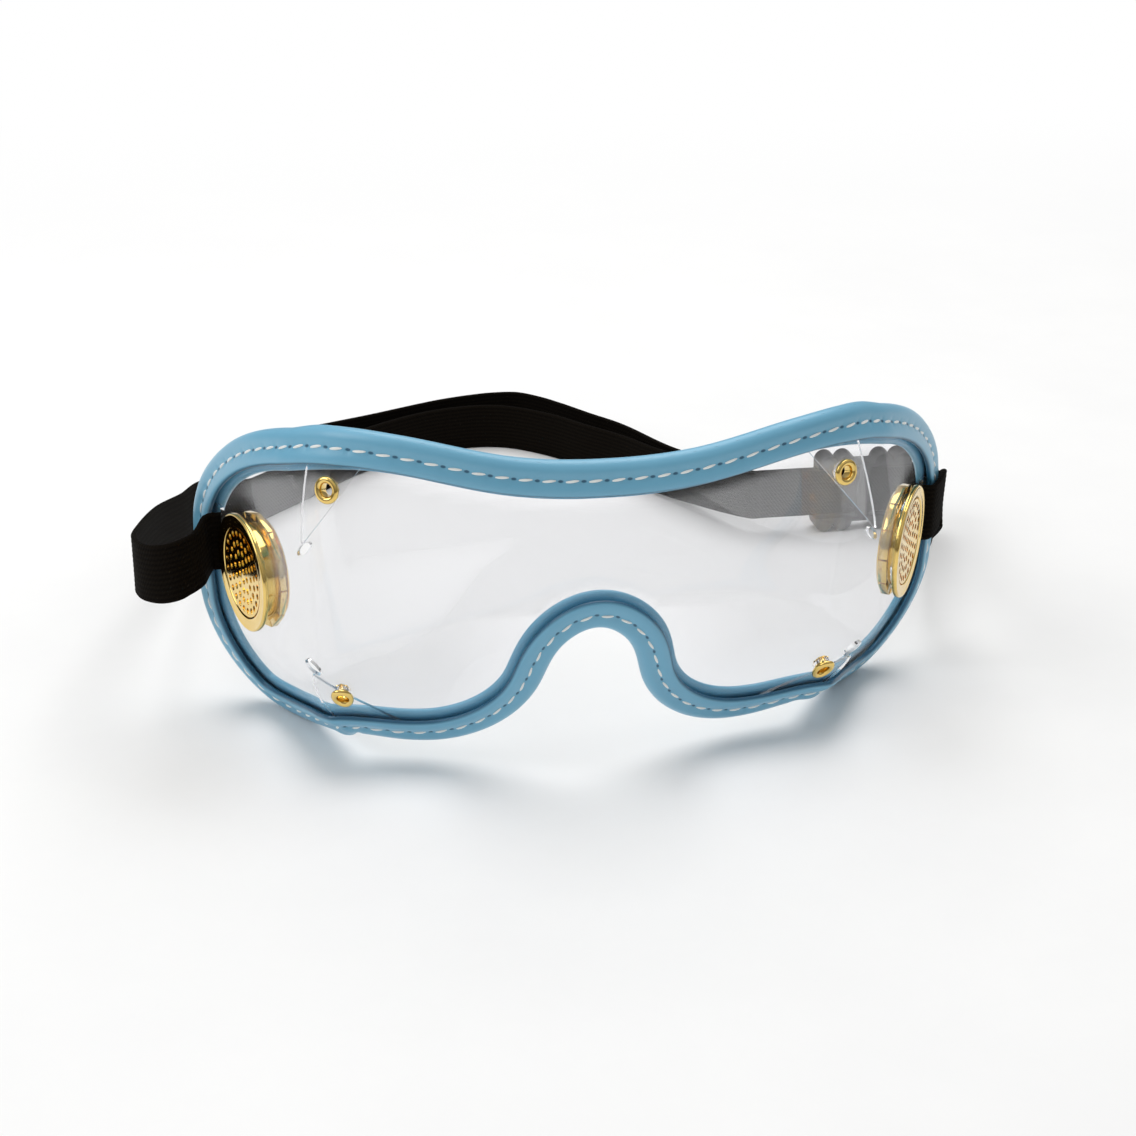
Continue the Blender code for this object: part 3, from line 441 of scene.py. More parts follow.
# The darker mark wins: painted shade in the holes, and the cut edge's dye with its painted shade.
dye_and_shade_mask = add_node(tree, "Math", {0: hole_shade.outputs[0], 1: cut_edge.outputs["Fac"]}, operation="MAXIMUM")
dark = add_node(tree, "Mix", {0: dye_and_shade_mask.outputs[0], 6: dyed, 7: linear(LEATHER_DYE_AND_SHADE)}, data_type="RGBA")
tree.links.new(dark.outputs[2], shader.inputs["Base Color"])
grain = add_node(tree, "TexVoronoi", {"Vector": place, "Scale": GRAIN_PER_METRE}, feature="SMOOTH_F1")
fine = add_node(tree, "TexNoise", {"Vector": place, "Scale": 900.0, "Detail": 3.0})
relief = add_node(tree, "Math", {0: grain.outputs["Distance"], 1: fine.outputs["Fac"]}, operation="ADD")
bump = add_node(tree, "Bump", {"Height": relief.outputs[0], "Strength": 0.16, "Distance": 0.0001})
tree.links.new(bump.outputs[0], shader.inputs["Normal"])

# %% Waxed sewing thread
# Twisted polyester, nearly white. The twist repeats every half millimetre, too fine to see well
# here, so it is drawn a little coarser than it is.
thread, tree, shader = new_material("waxed_sewing_thread", "#F1F2EE", roughness=0.55, sheen_weight=0.2)
place = add_node(tree, "TexCoord").outputs["Object"]
twist = add_node(tree, "TexWave", {
    "Vector": place, "Scale": 420.0, "Distortion": 2.0,
}, bands_direction="DIAGONAL")
bump = add_node(tree, "Bump", {"Height": twist.outputs["Fac"], "Strength": 0.5, "Distance": 0.0001})
tree.links.new(bump.outputs[0], shader.inputs["Normal"])

# %% Polished brass
# Stamped brass, tumbled bright. The polish leaves faint swirls that blur the reflection here and
# there, and the yellow is a little deeper where they are thickest.
brass, tree, shader = new_material("polished_brass", "#E9C876", metallic=1.0, roughness=0.12)
place = add_node(tree, "TexCoord").outputs["Object"]
swirl = add_node(tree, "TexNoise", {"Vector": place, "Scale": 260.0, "Detail": 5.0, "Roughness": 0.6})
blur = add_node(tree, "MapRange", {"Value": swirl.outputs["Fac"], "To Min": 0.06, "To Max": 0.18})
tree.links.new(blur.outputs[0], shader.inputs["Roughness"])
tree.links.new(mixed(tree, swirl.outputs["Fac"], "#E0BA5E", "#F2D68C"), shader.inputs["Base Color"])
bump = add_node(tree, "Bump", {"Height": swirl.outputs["Fac"], "Strength": 0.12, "Distance": 0.0002})
tree.links.new(bump.outputs[0], shader.inputs["Normal"])

# %% Clear pressed vinyl
# Plasticised PVC film, 0.8 mm thick and almost colourless. Its cut edges are real glassy
# refraction, so the darts, slits and holes show by themselves. Its two open faces are so close and
# so nearly parallel that they bend nothing one can see, so most of each face is plain see-through,
# and the rest is the glassy shader, whose near-white base colour shows as a milky veil. The veil is
# partly the film's own haze from handling and partly a painted reflection of the bright room. It is
# thickest where two layers lap, where it also paints the laps' bright reflection, and next to none
# by the vents and the binding. Lamps pass straight through.
vinyl, tree, shader = new_material(
    "clear_pressed_vinyl", "#F4F5F6", roughness=0.02, ior=1.53, transmission_weight=0.93)
place = add_node(tree, "TexCoord").outputs["Object"]
handled = add_node(tree, "TexNoise", {"Vector": place, "Scale": 45.0, "Detail": 3.0})
blur = add_node(tree, "MapRange", {
    "Value": handled.outputs["Fac"], "From Min": 0.45, "From Max": 0.8, "To Min": 0.0, "To Max": 0.012,
})
tree.links.new(blur.outputs[0], shader.inputs["Roughness"])
open_face = add_node(tree, "Attribute", attribute_name="open_face").outputs["Fac"]
haze_and_reflection = add_node(tree, "Attribute", attribute_name="haze_and_reflection").outputs["Fac"]
glassy = add_node(tree, "MapRange", {"Value": open_face, "To Min": 0.97, "To Max": 0.45})
tree.links.new(glassy.outputs[0], shader.inputs["Transmission Weight"])
# The near-white veil on the sheet: partly real haze, partly painted reflection of the bright room.
plain_share = add_node(tree, "MapRange", {"Value": haze_and_reflection, "To Min": 0.97, "To Max": 0.68})
plain = add_node(tree, "Math", {0: plain_share.outputs[0], 1: open_face}, operation="MULTIPLY")
lamp_light = add_node(tree, "LightPath").outputs["Is Shadow Ray"]
passed = add_node(tree, "Math", {0: plain.outputs[0], 1: lamp_light}, operation="MAXIMUM")
passing = add_node(tree, "BsdfTransparent", {"Color": linear("#FBFBFC")})
surface = add_node(tree, "MixShader", {0: passed.outputs[0], 1: shader.outputs[0], 2: passing.outputs[0]})
tree.links.new(surface.outputs[0], tree.nodes["Material Output"].inputs["Surface"])

# %% Ribbed woven elastic
# Braided elastic, black gone brown: rubber cords run its length inside a polyester braid. The
# ribs are in the mesh. The braid over them is a fine zigzag, and loose fibres give it a sheen.
RIB_PITCH, BRAID_PITCH = 1.12, 0.9
elastic, tree, shader = new_material(
    "ribbed_woven_elastic", "#110D08", roughness=0.9, sheen_weight=0.01, sheen_roughness=0.5,
    specular_ior_level=0.04)
strip = add_node(tree, "UVMap", uv_map="strip").outputs[0]
in_ribs = add_node(tree, "Mapping", {0: strip, 3: (1 / BRAID_PITCH, 1 / RIB_PITCH, 1.0)})
braid = add_node(tree, "TexWave", {
    "Vector": in_ribs.outputs[0], "Scale": 0.62, "Distortion": 1.2, "Detail Scale": 2.0,
}, bands_direction="DIAGONAL")
fluff = add_node(tree, "TexNoise", {"Vector": in_ribs.outputs[0], "Scale": 2.2, "Detail": 5.0})
relief = add_node(tree, "Math", {0: braid.outputs["Fac"], 1: fluff.outputs["Fac"]}, operation="ADD")
bump = add_node(tree, "Bump", {"Height": relief.outputs[0], "Strength": 0.3, "Distance": 0.0002})
tree.links.new(bump.outputs[0], shader.inputs["Normal"])
# Painted shade and highlight: the valleys between the ribs are painted darker and the rib tops lighter.
rib_shading = add_node(tree, "Attribute", attribute_name="rib_height")
tree.links.new(mixed(tree, rib_shading.outputs["Fac"], "#0A0705", "#130F0A"), shader.inputs["Base Color"])

# %% Moulded nylon
# Black nylon from a mould, with a satin skin from its eroded steel.
nylon, tree, shader = new_material("moulded_nylon", "#1D1C1D", roughness=0.38)
place = add_node(tree, "TexCoord").outputs["Object"]
skin = add_node(tree, "TexNoise", {"Vector": place, "Scale": 1800.0, "Detail": 2.0})
bump = add_node(tree, "Bump", {"Height": skin.outputs["Fac"], "Strength": 0.2, "Distance": 0.0001})
tree.links.new(bump.outputs[0], shader.inputs["Normal"])
print("materials:", [m.name for m in (leather, thread, brass, vinyl, elastic, nylon)])

# %% [markdown]
# ## The lens
# One sheet of vinyl, 0.8 mm thick. A flat grid gets its thickness from Solidify, a prism of the
# outline trims it, and punches cut the vents, the strap slots, the eyelet holes and the small
# relief holes where the darts end. The fine grid is what lets it bend smoothly afterwards. At
# each dart the cut edges lap, so a wedge of the same sheet is joined on in front.

# %% Lens sizes
# The darts were cut by hand, so the two sides differ. In the tables -1 is the left side and 1 the
# right, and each pair is a place on the pattern, along and up.
LENS_THICKNESS = 0.8
LENS_INSET = 1.4
GRID = 1.6
BARREL_HOLE, EYELET_HOLE = 10.1, 1.9
RELIEF_HALF_LENGTH, RELIEF_HALF_WIDTH, RELIEF_TILT = 2.1, 0.85, math.radians(48)
SLOT_WIDTH, SLOT_LENGTH = 3.2, 16.3
UPPER_EYELETS, LOWER_EYELETS = {-1: (54.0, 67.6), 1: (50.5, 66.7)}, {-1: (53.4, 21.8), 1: (53.0, 20.4)}
UPPER_RELIEFS, LOWER_RELIEFS = {-1: (59.2, 54.8), 1: (59.2, 51.7)}, {-1: (58.2, 29.0), 1: (58.6, 24.6)}
PUNCH_DEPTH = 8.0


# %% Punches and prisms
def punch(centre, radius, sides, depth=PUNCH_DEPTH):
    """A round punch through the pattern."""
    clear_selection()
    bpy.ops.mesh.primitive_cylinder_add(
        vertices=sides, radius=radius, depth=depth, location=(centre[0], 0, centre[1]),
        rotation=(math.pi / 2, 0, 0))
    return added("punch")


def slit(centre, tilt):
    """A long rounded punch, turned on the pattern, for the end of a dart."""
    obj = punch((0, 0), 1, 28)
    spot = read_points(obj)
    along, across = spot[:, 0] * RELIEF_HALF_LENGTH, spot[:, 2] * RELIEF_HALF_WIDTH
    u = centre[0] + along * math.cos(tilt) - across * math.sin(tilt)
    z = centre[1] + along * math.sin(tilt) + across * math.cos(tilt)
    write_points(obj, np.stack([u, spot[:, 1], z], axis=1))
    return obj


def block(low, high):
    """A box between two corners."""
    low, high = np.array(low, float), np.array(high, float)
    clear_selection()
    bpy.ops.mesh.primitive_cube_add(size=1, location=(low + high) / 2, scale=high - low)
    return added("block")


def slab(outline, front, back):
    """A prism of a closed outline on the pattern, from a filled circle that is extruded."""
    clear_selection()
    bpy.ops.mesh.primitive_circle_add(vertices=len(outline), radius=1, fill_type="NGON")
    obj = added("slab")
    write_points(obj, [(u, -front, z) for u, z in outline])
    edit(obj)
    bpy.ops.mesh.extrude_region_move(TRANSFORM_OT_translate={"value": (0, front - back, 0)})
    bpy.ops.mesh.select_all(action="SELECT")
    bpy.ops.mesh.normals_make_consistent(inside=False)
    bpy.ops.object.mode_set(mode="OBJECT")
    return obj


def gridded(low, high, front, back):
    """A plate with a fine grid, so that it can bend."""
    size = np.array(high, float) - np.array(low, float)
    count = np.maximum(1, np.round(size / GRID)).astype(int)
    clear_selection()
    bpy.ops.mesh.primitive_grid_add(
        x_subdivisions=int(count[0]), y_subdivisions=int(count[1]), size=1)
    obj = added("sheet")
    flat = read_points(obj)
    u, z = low[0] + (flat[:, 0] + 0.5) * size[0], low[1] + (flat[:, 1] + 0.5) * size[1]
    write_points(obj, np.stack([u, np.full(len(u), -(front + back) / 2), z], axis=1))
    apply_modifier(obj, "SOLIDIFY", thickness=front - back, offset=0)
    turn_outwards(obj)
    return obj


# %% Cut the lens
TRIM_POINTS = 420
lens = gridded((-HALF_LENGTH, 0), (HALF_LENGTH, HEIGHT), LENS_THICKNESS / 2, -LENS_THICKNESS / 2)
trim_line = inset(even_steps(OUTLINE_SMOOTH, TRIM_POINTS), LENS_INSET)
boolean(lens, slab(trim_line, PUNCH_DEPTH, -PUNCH_DEPTH), "INTERSECT")
print("trimmed lens:", len(lens.data.vertices), "points")

# %% Lap the darts
FLAP_WIDTH = 7.1
LAP_UNDER_FLAP = 2.5
DART_LAP = 0.55
RELIEF_TOP, TIP_HALF_WIDTH = 1.4, 0.2
UPPER_DART_EDGE, LOWER_DART_EDGE = 71.8, 13.4
UPPER_DARTS, LOWER_DARTS = {-1: (47.8, 60.0), 1: (42.2, 55.0)}, {-1: (42.9, 60.4), 1: (43.5, 60.4)}
DART_REACH = 24.0
flap_line = inset(even_steps(OUTLINE_SMOOTH, TRIM_POINTS), FLAP_WIDTH - LAP_UNDER_FLAP)
for hand in (-1, 1):
    for towards, relief, dart, edge in (
            (1, UPPER_RELIEFS[hand], UPPER_DARTS[hand], UPPER_DART_EDGE),
            (-1, LOWER_RELIEFS[hand], LOWER_DARTS[hand], LOWER_DART_EDGE)):
        tip = relief[1] + towards * RELIEF_TOP
        wedge = [(relief[0] - TIP_HALF_WIDTH, tip), (relief[0] + TIP_HALF_WIDTH, tip)]
        stretch = DART_REACH / abs(edge - tip)
        for side_u in (dart[1], dart[0]):
            wedge.append((relief[0] + stretch * (side_u - relief[0]), tip + towards * DART_REACH))
        us, zs = [u for u, z in wedge], [z for u, z in wedge]
        lap = gridded((min(us), min(zs)), (max(us), max(zs)), LENS_THICKNESS / 2 + DART_LAP, 0)
        boolean(lap, slab(wedge, PUNCH_DEPTH, -PUNCH_DEPTH), "INTERSECT")
        boolean(lap, slab(flap_line, PUNCH_DEPTH, -PUNCH_DEPTH), "INTERSECT")
        write_points(lap, read_points(lap) * (hand, 1, 1))
        turn_outwards(lap)
        boolean(lens, lap, "UNION")
print("lens with its laps:", len(lens.data.vertices), "points")

# %% Punch the holes and bend the lens
punches = []
for hand in (-1, 1):
    punches.append(punch((hand * VENT_U, VENT_Z), BARREL_HOLE, 64))
    for spot in (UPPER_EYELETS[hand], LOWER_EYELETS[hand]):
        punches.append(punch((hand * spot[0], spot[1]), EYELET_HOLE, 24))
    for spot, lean in ((UPPER_RELIEFS[hand], -1), (LOWER_RELIEFS[hand], 1)):
        punches.append(slit((hand * spot[0], spot[1]), hand * lean * RELIEF_TILT))
    slot_low = (hand * SLOT_U - SLOT_WIDTH / 2, -PUNCH_DEPTH / 2, SLOT_Z - SLOT_LENGTH / 2)
    slot_high = (hand * SLOT_U + SLOT_WIDTH / 2, PUNCH_DEPTH / 2, SLOT_Z + SLOT_LENGTH / 2)
    punches.append(block(slot_low, slot_high))
boolean(lens, joined(punches, "punches"), "DIFFERENCE")
lens.name = lens.data.name = "lens_sheet"

# %% Haze and painted reflection on the lens
# The milky veil, partly real haze and partly painted reflection, is a value at each point: 0 by the
# vents and the binding, 0.5 on the open sheet and 1 on the laps. It fades in over a few millimetres,
# and over more of them on the cheeks. The open faces are those that look straight forwards or back
# on the flat pattern.
VENT_HAZE_AND_REFLECTION_START, VENT_HAZE_AND_REFLECTION_END = 15.5, 19.0
EDGE_HAZE_AND_REFLECTION_START, BROW_HAZE_AND_REFLECTION_END, CHEEK_HAZE_AND_REFLECTION_END = 8.5, 10.5, 26.0
OPEN_SHEET_HAZE_AND_REFLECTION, LAP_HAZE_AND_REFLECTION = 0.5, 1.0
FACES_FORWARD = 0.99
lens_flat = read_points(lens)
from_vent = np.hypot(np.abs(lens_flat[:, 0]) - VENT_U, lens_flat[:, 2] - VENT_Z)
from_edge = np.linalg.norm(lens_flat[:, None, [0, 2]] - OUTLINE_SMOOTH[None, ::2], axis=2).min(axis=1)
edge_haze_and_reflection_end = np.where(lens_flat[:, 2] > VENT_Z, BROW_HAZE_AND_REFLECTION_END, CHEEK_HAZE_AND_REFLECTION_END)
vent_share = np.clip((from_vent - VENT_HAZE_AND_REFLECTION_START) / (VENT_HAZE_AND_REFLECTION_END - VENT_HAZE_AND_REFLECTION_START), 0, 1)
edge_share = np.clip((from_edge - EDGE_HAZE_AND_REFLECTION_START) / (edge_haze_and_reflection_end - EDGE_HAZE_AND_REFLECTION_START), 0, 1)
on_lap = -lens_flat[:, 1] > LENS_THICKNESS / 2 + DART_LAP / 2
# On the laps the veil is doubled: a second layer's haze, and a painted reflection of the bright room.
haze_and_reflection_values = np.where(on_lap, LAP_HAZE_AND_REFLECTION, OPEN_SHEET_HAZE_AND_REFLECTION) * vent_share * edge_share
lens.data.attributes.new("haze_and_reflection", "FLOAT", "POINT").data.foreach_set("value", haze_and_reflection_values)
face_normals = np.empty(len(lens.data.polygons) * 3)
lens.data.polygons.foreach_get("normal", face_normals)
flat_facing = -face_normals[1::3]
open_faces = (np.abs(flat_facing) > FACES_FORWARD).astype(float)
lens.data.attributes.new("open_face", "FLOAT", "FACE").data.foreach_set("value", open_faces)
print("open faces:", int(open_faces.sum()), "of", len(open_faces))

# %% Bend the lens
# A reflection on the lens would ripple with its mesh, so the two open faces are given the bending
# function's own normals. A zero leaves the cut edges to Blender.
corner_counts = np.empty(len(lens.data.polygons), dtype=np.int32)
lens.data.polygons.foreach_get("loop_total", corner_counts)
facing = np.repeat(flat_facing, corner_counts)
corners = np.empty(len(lens.data.loops), dtype=np.int32)
lens.data.loops.foreach_get("vertex_index", corners)
true_normals = sheet_normals(lens_flat[:, 0], lens_flat[:, 2])[corners] * np.sign(facing)[:, None]
true_normals[np.abs(facing) < FACES_FORWARD] = 0.0
bend_onto_face(lens)
finish_piece(lens, vinyl, "lens")
lens.data.normals_split_custom_set(true_normals.tolist())
print("corners given a true normal:", int((np.abs(facing) >= FACES_FORWARD).sum()), "of", len(corners))

# %% [markdown]
# ## The leather binding
# A strip of leather is folded over the lens's edge and sewn through. It starts as a plane grid
# whose rows run round the goggles and whose columns run round the strip's section. Each of its
# points is carried to its place on the folded section, and the grid's edges are welded where they
# meet. The flap behind is a little wider than the one in front, so it shows through the lens past
# the front's cut edge, whose dark teal is partly dye and partly painted shade. Where the needle
# went through, the leather is pulled in, which gives the small dimples between the stitches.

# %% Section of the folded strip
SEAM_INSET = 3.9
FRONT_SECTION = [
    (1.6, 0.5), (4.2, 0.5), (6.6, 0.5), (7.05, 0.75), (7.15, 1.2), (6.9, 1.65), (6.3, 1.9), (5.3, 1.9),
    (4.5, 1.72), (3.9, 1.6), (3.3, 1.74), (2.5, 1.98), (1.6, 1.93), (0.75, 1.5), (0.15, 0.75),
]
AROUND_STRIP = 56
ALONG_STRIP = 1200
BACK_EXTRA, WIDENS_FROM, WIDENS_OVER = 0.9, 4.2, 2.4
BACK_SECTION = [
    (d + BACK_EXTRA * min(max((d - WIDENS_FROM) / WIDENS_OVER, 0), 1), -f) for d, f in FRONT_SECTION[::-1]
]
section_line = closed_spline(FRONT_SECTION + [(0.0, 0.0)] + BACK_SECTION, pieces=8)
section = even_steps(section_line, AROUND_STRIP)

# %% Where the needle goes
SEAM_POINTS = 900
seam_line = inset(even_steps(OUTLINE_SMOOTH, SEAM_POINTS), SEAM_INSET)
seam_line = np.vstack([seam_line, seam_line[:1]])
seam_run = run_along(bent(seam_line[:, [0, 0, 1]] * (1, 0, 1)))
stitch_count = round(seam_run[-1] / STITCH_PITCH)
holes = picked_along(seam_line, seam_run, np.linspace(0, seam_run[-1], stitch_count, endpoint=False))
next_holes = np.roll(holes, -1, axis=0)
print("stitches each side:", stitch_count)

# %% A grid to roll up
def grid_for_tube(name, along, around):
    """A plane grid, with each point's row along the tube and its column round it."""
    clear_selection()
    bpy.ops.mesh.primitive_grid_add(x_subdivisions=along, y_subdivisions=around, size=1)
    obj = added(name)
    grid = read_points(obj)
    row = np.round((grid[:, 0] + 0.5) * along).astype(int)
    column = np.round((grid[:, 1] + 0.5) * around).astype(int) % around
    return obj, row, column


# %% Fold the strip
DIMPLE_DEPTH, DIMPLE_RADIUS, DIMPLE_REACH = 0.28, 0.36, 1.6
CUT_EDGE_INSET, CUT_EDGE_HALF_HEIGHT, EDGE_DYE_AND_SHADE = 6.8, 0.75, 0.95
OUTSIDE_LEVEL, FAR_FROM_SEAM = 1.2, 5.0
binding, full_row, column = grid_for_tube("leather_binding", ALONG_STRIP, AROUND_STRIP)
row = full_row % ALONG_STRIP
stations = even_steps(OUTLINE_SMOOTH, ALONG_STRIP)
outwards = inset(stations, -1) - stations
folded = np.empty((len(row), 3))
folded[:, [0, 2]] = stations[row] - outwards[row] * section[column, :1]
folded[:, 1] = -section[column, 1]
by_seam = np.abs(section[column, 0] - SEAM_INSET) < DIMPLE_REACH
on_seam = by_seam & (np.abs(folded[:, 1]) > OUTSIDE_LEVEL)
near = np.linalg.norm(folded[on_seam][:, None, [0, 2]] - holes[None], axis=2).min(axis=1)
pull = np.exp(-(near / DIMPLE_RADIUS) ** 2 / 2)
folded[on_seam, 1] -= np.sign(folded[on_seam, 1]) * DIMPLE_DEPTH * pull
write_points(binding, folded)
# The front's cut edge gets the dark teal: partly its own darker dye, partly painted shade of the gap
# between the flap's edge and the lens.
at_cut_height = np.abs(section[column, 1] - CUT_EDGE_HALF_HEIGHT) < CUT_EDGE_HALF_HEIGHT
cut = np.where((section[column, 0] > CUT_EDGE_INSET) & at_cut_height, EDGE_DYE_AND_SHADE, 0.0)
edge_layer = binding.data.attributes.new("cut_edge", "FLOAT", "POINT")
edge_layer.data.foreach_set("value", cut)
under_seam = np.vstack([inset(stations, SEAM_INSET), inset(stations, SEAM_INSET)[:1]])
under_run = run_along(bent(under_seam[:, [0, 0, 1]] * (1, 0, 1)))
in_stitches = under_run[full_row] / under_run[-1] * stitch_count
outside = np.abs(section[column, 1]) > OUTSIDE_LEVEL
off_seam = np.where(outside, section[column, 0] - SEAM_INSET, FAR_FROM_SEAM)
add_map(binding, "seam", np.stack([in_stitches, off_seam], axis=1))
turn_outwards(binding)
bend_onto_face(binding)
finish_piece(binding, leather, "binding", sharp=math.radians(60))

# %% [markdown]
# ## The stitches
# A lockstitch shows as a row of short bars, each a little askew, with its ends pulled down into
# the holes. One grain-shaped bar is made from a low-poly sphere, and a copy is laid between each
# two holes, on the front and on the back. The holes are at even steps along the bent seam, so
# where the bend crowds the pattern a stitch is laid longer on it.

# %% One stitch
STITCH_HALF_LENGTH, STITCH_HALF_WIDTH, STITCH_HALF_HEIGHT = 1.68, 0.28, 0.26
STITCH_SKEW = math.radians(7)
STITCH_SEAT, STITCH_DIVE, STITCH_POINT = 1.68, 0.42, 1.25
clear_selection()
bpy.ops.mesh.primitive_uv_sphere_add(segments=8, ring_count=9, radius=1, rotation=(0, math.pi / 2, 0))
stitch = added("stitch")
grain_shape = read_points(stitch)
bar = np.sign(grain_shape[:, 0]) * np.abs(grain_shape[:, 0]) ** STITCH_POINT
stitch_shape = np.stack([
    bar * STITCH_HALF_LENGTH, grain_shape[:, 1] * STITCH_HALF_WIDTH,
    grain_shape[:, 2] * STITCH_HALF_HEIGHT - STITCH_DIVE * grain_shape[:, 0] ** 4,
], axis=1)
print("faces in a stitch:", len(stitch.data.polygons))


# %% Sew both sides
def sewn(name, facing):
    """A row of stitches on one side of the leather."""
    copies = []
    for start, end in zip(holes, next_holes):
        step = np.linalg.norm(end - start)
        heading = math.atan2(end[1] - start[1], end[0] - start[0]) + STITCH_SKEW
        along = np.array([math.cos(heading), math.sin(heading)])
        side = np.array([-along[1], along[0]])
        lengthened = stitch_shape[:, :1] * step / STITCH_PITCH
        flat = (start + end) / 2 + lengthened * along + stitch_shape[:, 1:2] * side
        front = facing * (STITCH_SEAT + stitch_shape[:, 2])
        copy = copy_of(stitch, name)
        write_points(copy, np.stack([flat[:, 0], -front, flat[:, 1]], axis=1))
        copies.append(copy)
    all_stitches = joined(copies, name)
    turn_outwards(all_stitches)
    bend_onto_face(all_stitches)
    return all_stitches


finish_piece(sewn("stitches_front", 1), thread, "seam_thread_front")
finish_piece(sewn("stitches_back", -1), thread, "seam_thread_back")
bpy.data.objects.remove(stitch)

# %% [markdown]
# ## The brass vents
# Each vent is a large eyelet: a rim with a barrel goes through the lens, a punched screen sits
# in it, and a washer with a dozen flats is clamped behind. The rim is turned by spinning its
# section round the vent's axis, as on a lathe.


# %% A lathe
def turned(name, profile, steps):
    """Spins a closed section of (radius, front) points about the vent's axis."""
    clear_selection()
    bpy.ops.mesh.primitive_circle_add(vertices=len(profile), radius=1)
    obj = added(name)
    write_points(obj, [(radius, -front, 0) for radius, front in profile])
    edit(obj)
    bpy.ops.mesh.spin(steps=steps, angle=2 * math.pi, center=(0, 0, 0), axis=(0, 1, 0))
    bpy.ops.object.mode_set(mode="OBJECT")
    turn_outwards(obj, merge=0.002)
    return obj


def moved_to(obj, centre):
    write_points(obj, read_points(obj) + (centre[0], 0, centre[1]))


# %% Vent rims
RIM_CREST = [
    (12.42, 0.58), (12.5, 0.8), (12.5, 1.3), (12.44, 1.5), (12.3, 1.62), (12.1, 1.64), (11.9, 1.56),
    (11.7, 1.5), (10.6, 1.54), (10.0, 1.52), (9.8, 1.44), (9.68, 1.28), (9.55, 0.1),
]
LIP_DROPS = {-1: 4.2, 1: 2.7}
for hand, side_name in ((-1, "left"), (1, "right")):
    lip = -LIP_DROPS[hand]
    profile = RIM_CREST + [
        (9.4, lip), (9.45, lip - 0.45), (9.9, lip - 0.7), (10.6, lip - 0.6), (10.9, lip - 0.25),
        (10.6, lip), (10.0, lip + 0.1), (9.85, lip + 0.5), (9.85, 0.45), (10.0, 0.55),
    ]
    rim = turned("vent_rim_" + side_name + "_turned", profile, 96)
    moved_to(rim, (hand * VENT_U, VENT_Z))
    bend_onto_face(rim)
    finish_piece(rim, brass, "vent_rim_" + side_name, sharp=math.radians(50))

# %% Vent screens
# The holes lie in rings round one in the centre, each ring with six holes more than the last.
SCREEN_RADIUS, SCREEN_FRONT, SCREEN_THICKNESS = 9.45, 1.36, 0.4
HOLE_RINGS, RING_PITCH, HOLE_RADIUS = 4, 2.06, 0.68
SCREEN_DISH = 0.35
hole_places = [(0.0, 0.0)]
for ring in range(1, HOLE_RINGS + 1):
    for step in range(6 * ring):
        angle = 2 * math.pi * (step + 0.5 * (ring % 2)) / (6 * ring)
        hole_places.append((ring * RING_PITCH * math.cos(angle), ring * RING_PITCH * math.sin(angle)))
screen = punch((0, 0), SCREEN_RADIUS, 72, depth=SCREEN_THICKNESS)
boolean(screen, joined([punch(at, HOLE_RADIUS, 14) for at in hole_places], "punches"), "DIFFERENCE")
print("holes in a screen:", len(hole_places))
dished = read_points(screen)
share = (dished[:, 0] ** 2 + dished[:, 2] ** 2) / SCREEN_RADIUS ** 2
dished[:, 1] += SCREEN_DISH * (1 - share) - SCREEN_FRONT + SCREEN_THICKNESS / 2
write_points(screen, dished)
for hand, side_name in ((-1, "left"), (1, "right")):
    copy = copy_of(screen, "vent_screen_" + side_name + "_punched")
    moved_to(copy, (hand * VENT_U, VENT_Z))
    bend_onto_face(copy)
    finish_piece(copy, brass, "vent_screen_" + side_name)
bpy.data.objects.remove(screen)

# %% Vent washers
# Twelve flats, with a nick between each two, and every edge rounded by a small bevel. The left
# one is hammered thinner, because the strap's end is clamped under it.
WASHER_RADIUS, WASHER_HOLE, WASHER_THICKNESS, WASHER_TABS = 12.4, 9.95, 1.9, 12
WASHER_BEVEL, BEVEL_FROM = 0.14, math.radians(25)
NICK_WIDTH, NICK_DEPTH = 0.35, 1.3
WASHER_FRONTS = {-1: -2.2, 1: -0.7}
WASHER_SHARES = {-1: 0.7, 1: 1.0}
washer = punch((0, 0), WASHER_RADIUS, WASHER_TABS, depth=WASHER_THICKNESS)
boolean(washer, punch((0, 0), WASHER_HOLE, 72), "DIFFERENCE")
nicks = []
for tab in range(WASHER_TABS):
    nick = block((WASHER_RADIUS - NICK_DEPTH, -2, -NICK_WIDTH / 2), (WASHER_RADIUS + 1, 2, NICK_WIDTH / 2))
    angle = 2 * math.pi * tab / WASHER_TABS
    spot = read_points(nick)
    turned_spot = [spot[:, 0] * math.cos(angle) - spot[:, 2] * math.sin(angle), spot[:, 1],
                   spot[:, 0] * math.sin(angle) + spot[:, 2] * math.cos(angle)]
    write_points(nick, np.stack(turned_spot, axis=1))
    nicks.append(nick)
boolean(washer, joined(nicks, "nicks"), "DIFFERENCE")
apply_modifier(
    washer, "BEVEL", width=WASHER_BEVEL, segments=2, limit_method="ANGLE", angle_limit=BEVEL_FROM)
for hand, side_name in ((-1, "left"), (1, "right")):
    copy = copy_of(washer, "vent_washer_" + side_name + "_nicked")
    half_depth = WASHER_SHARES[hand] * WASHER_THICKNESS / 2
    centre = (hand * VENT_U, half_depth - WASHER_FRONTS[hand], VENT_Z)
    write_points(copy, read_points(copy) * (1, WASHER_SHARES[hand], 1) + centre)
    bend_onto_face(copy)
    finish_piece(copy, brass, "vent_washer_" + side_name)
bpy.data.objects.remove(washer)

# %% [markdown]
# ## The small eyelets
# A small brass eyelet pins each dart. In front it has a rolled flange like half a ring doughnut.
# Behind the lens its barrel was split into petals by the setting tool, and they lie flat.

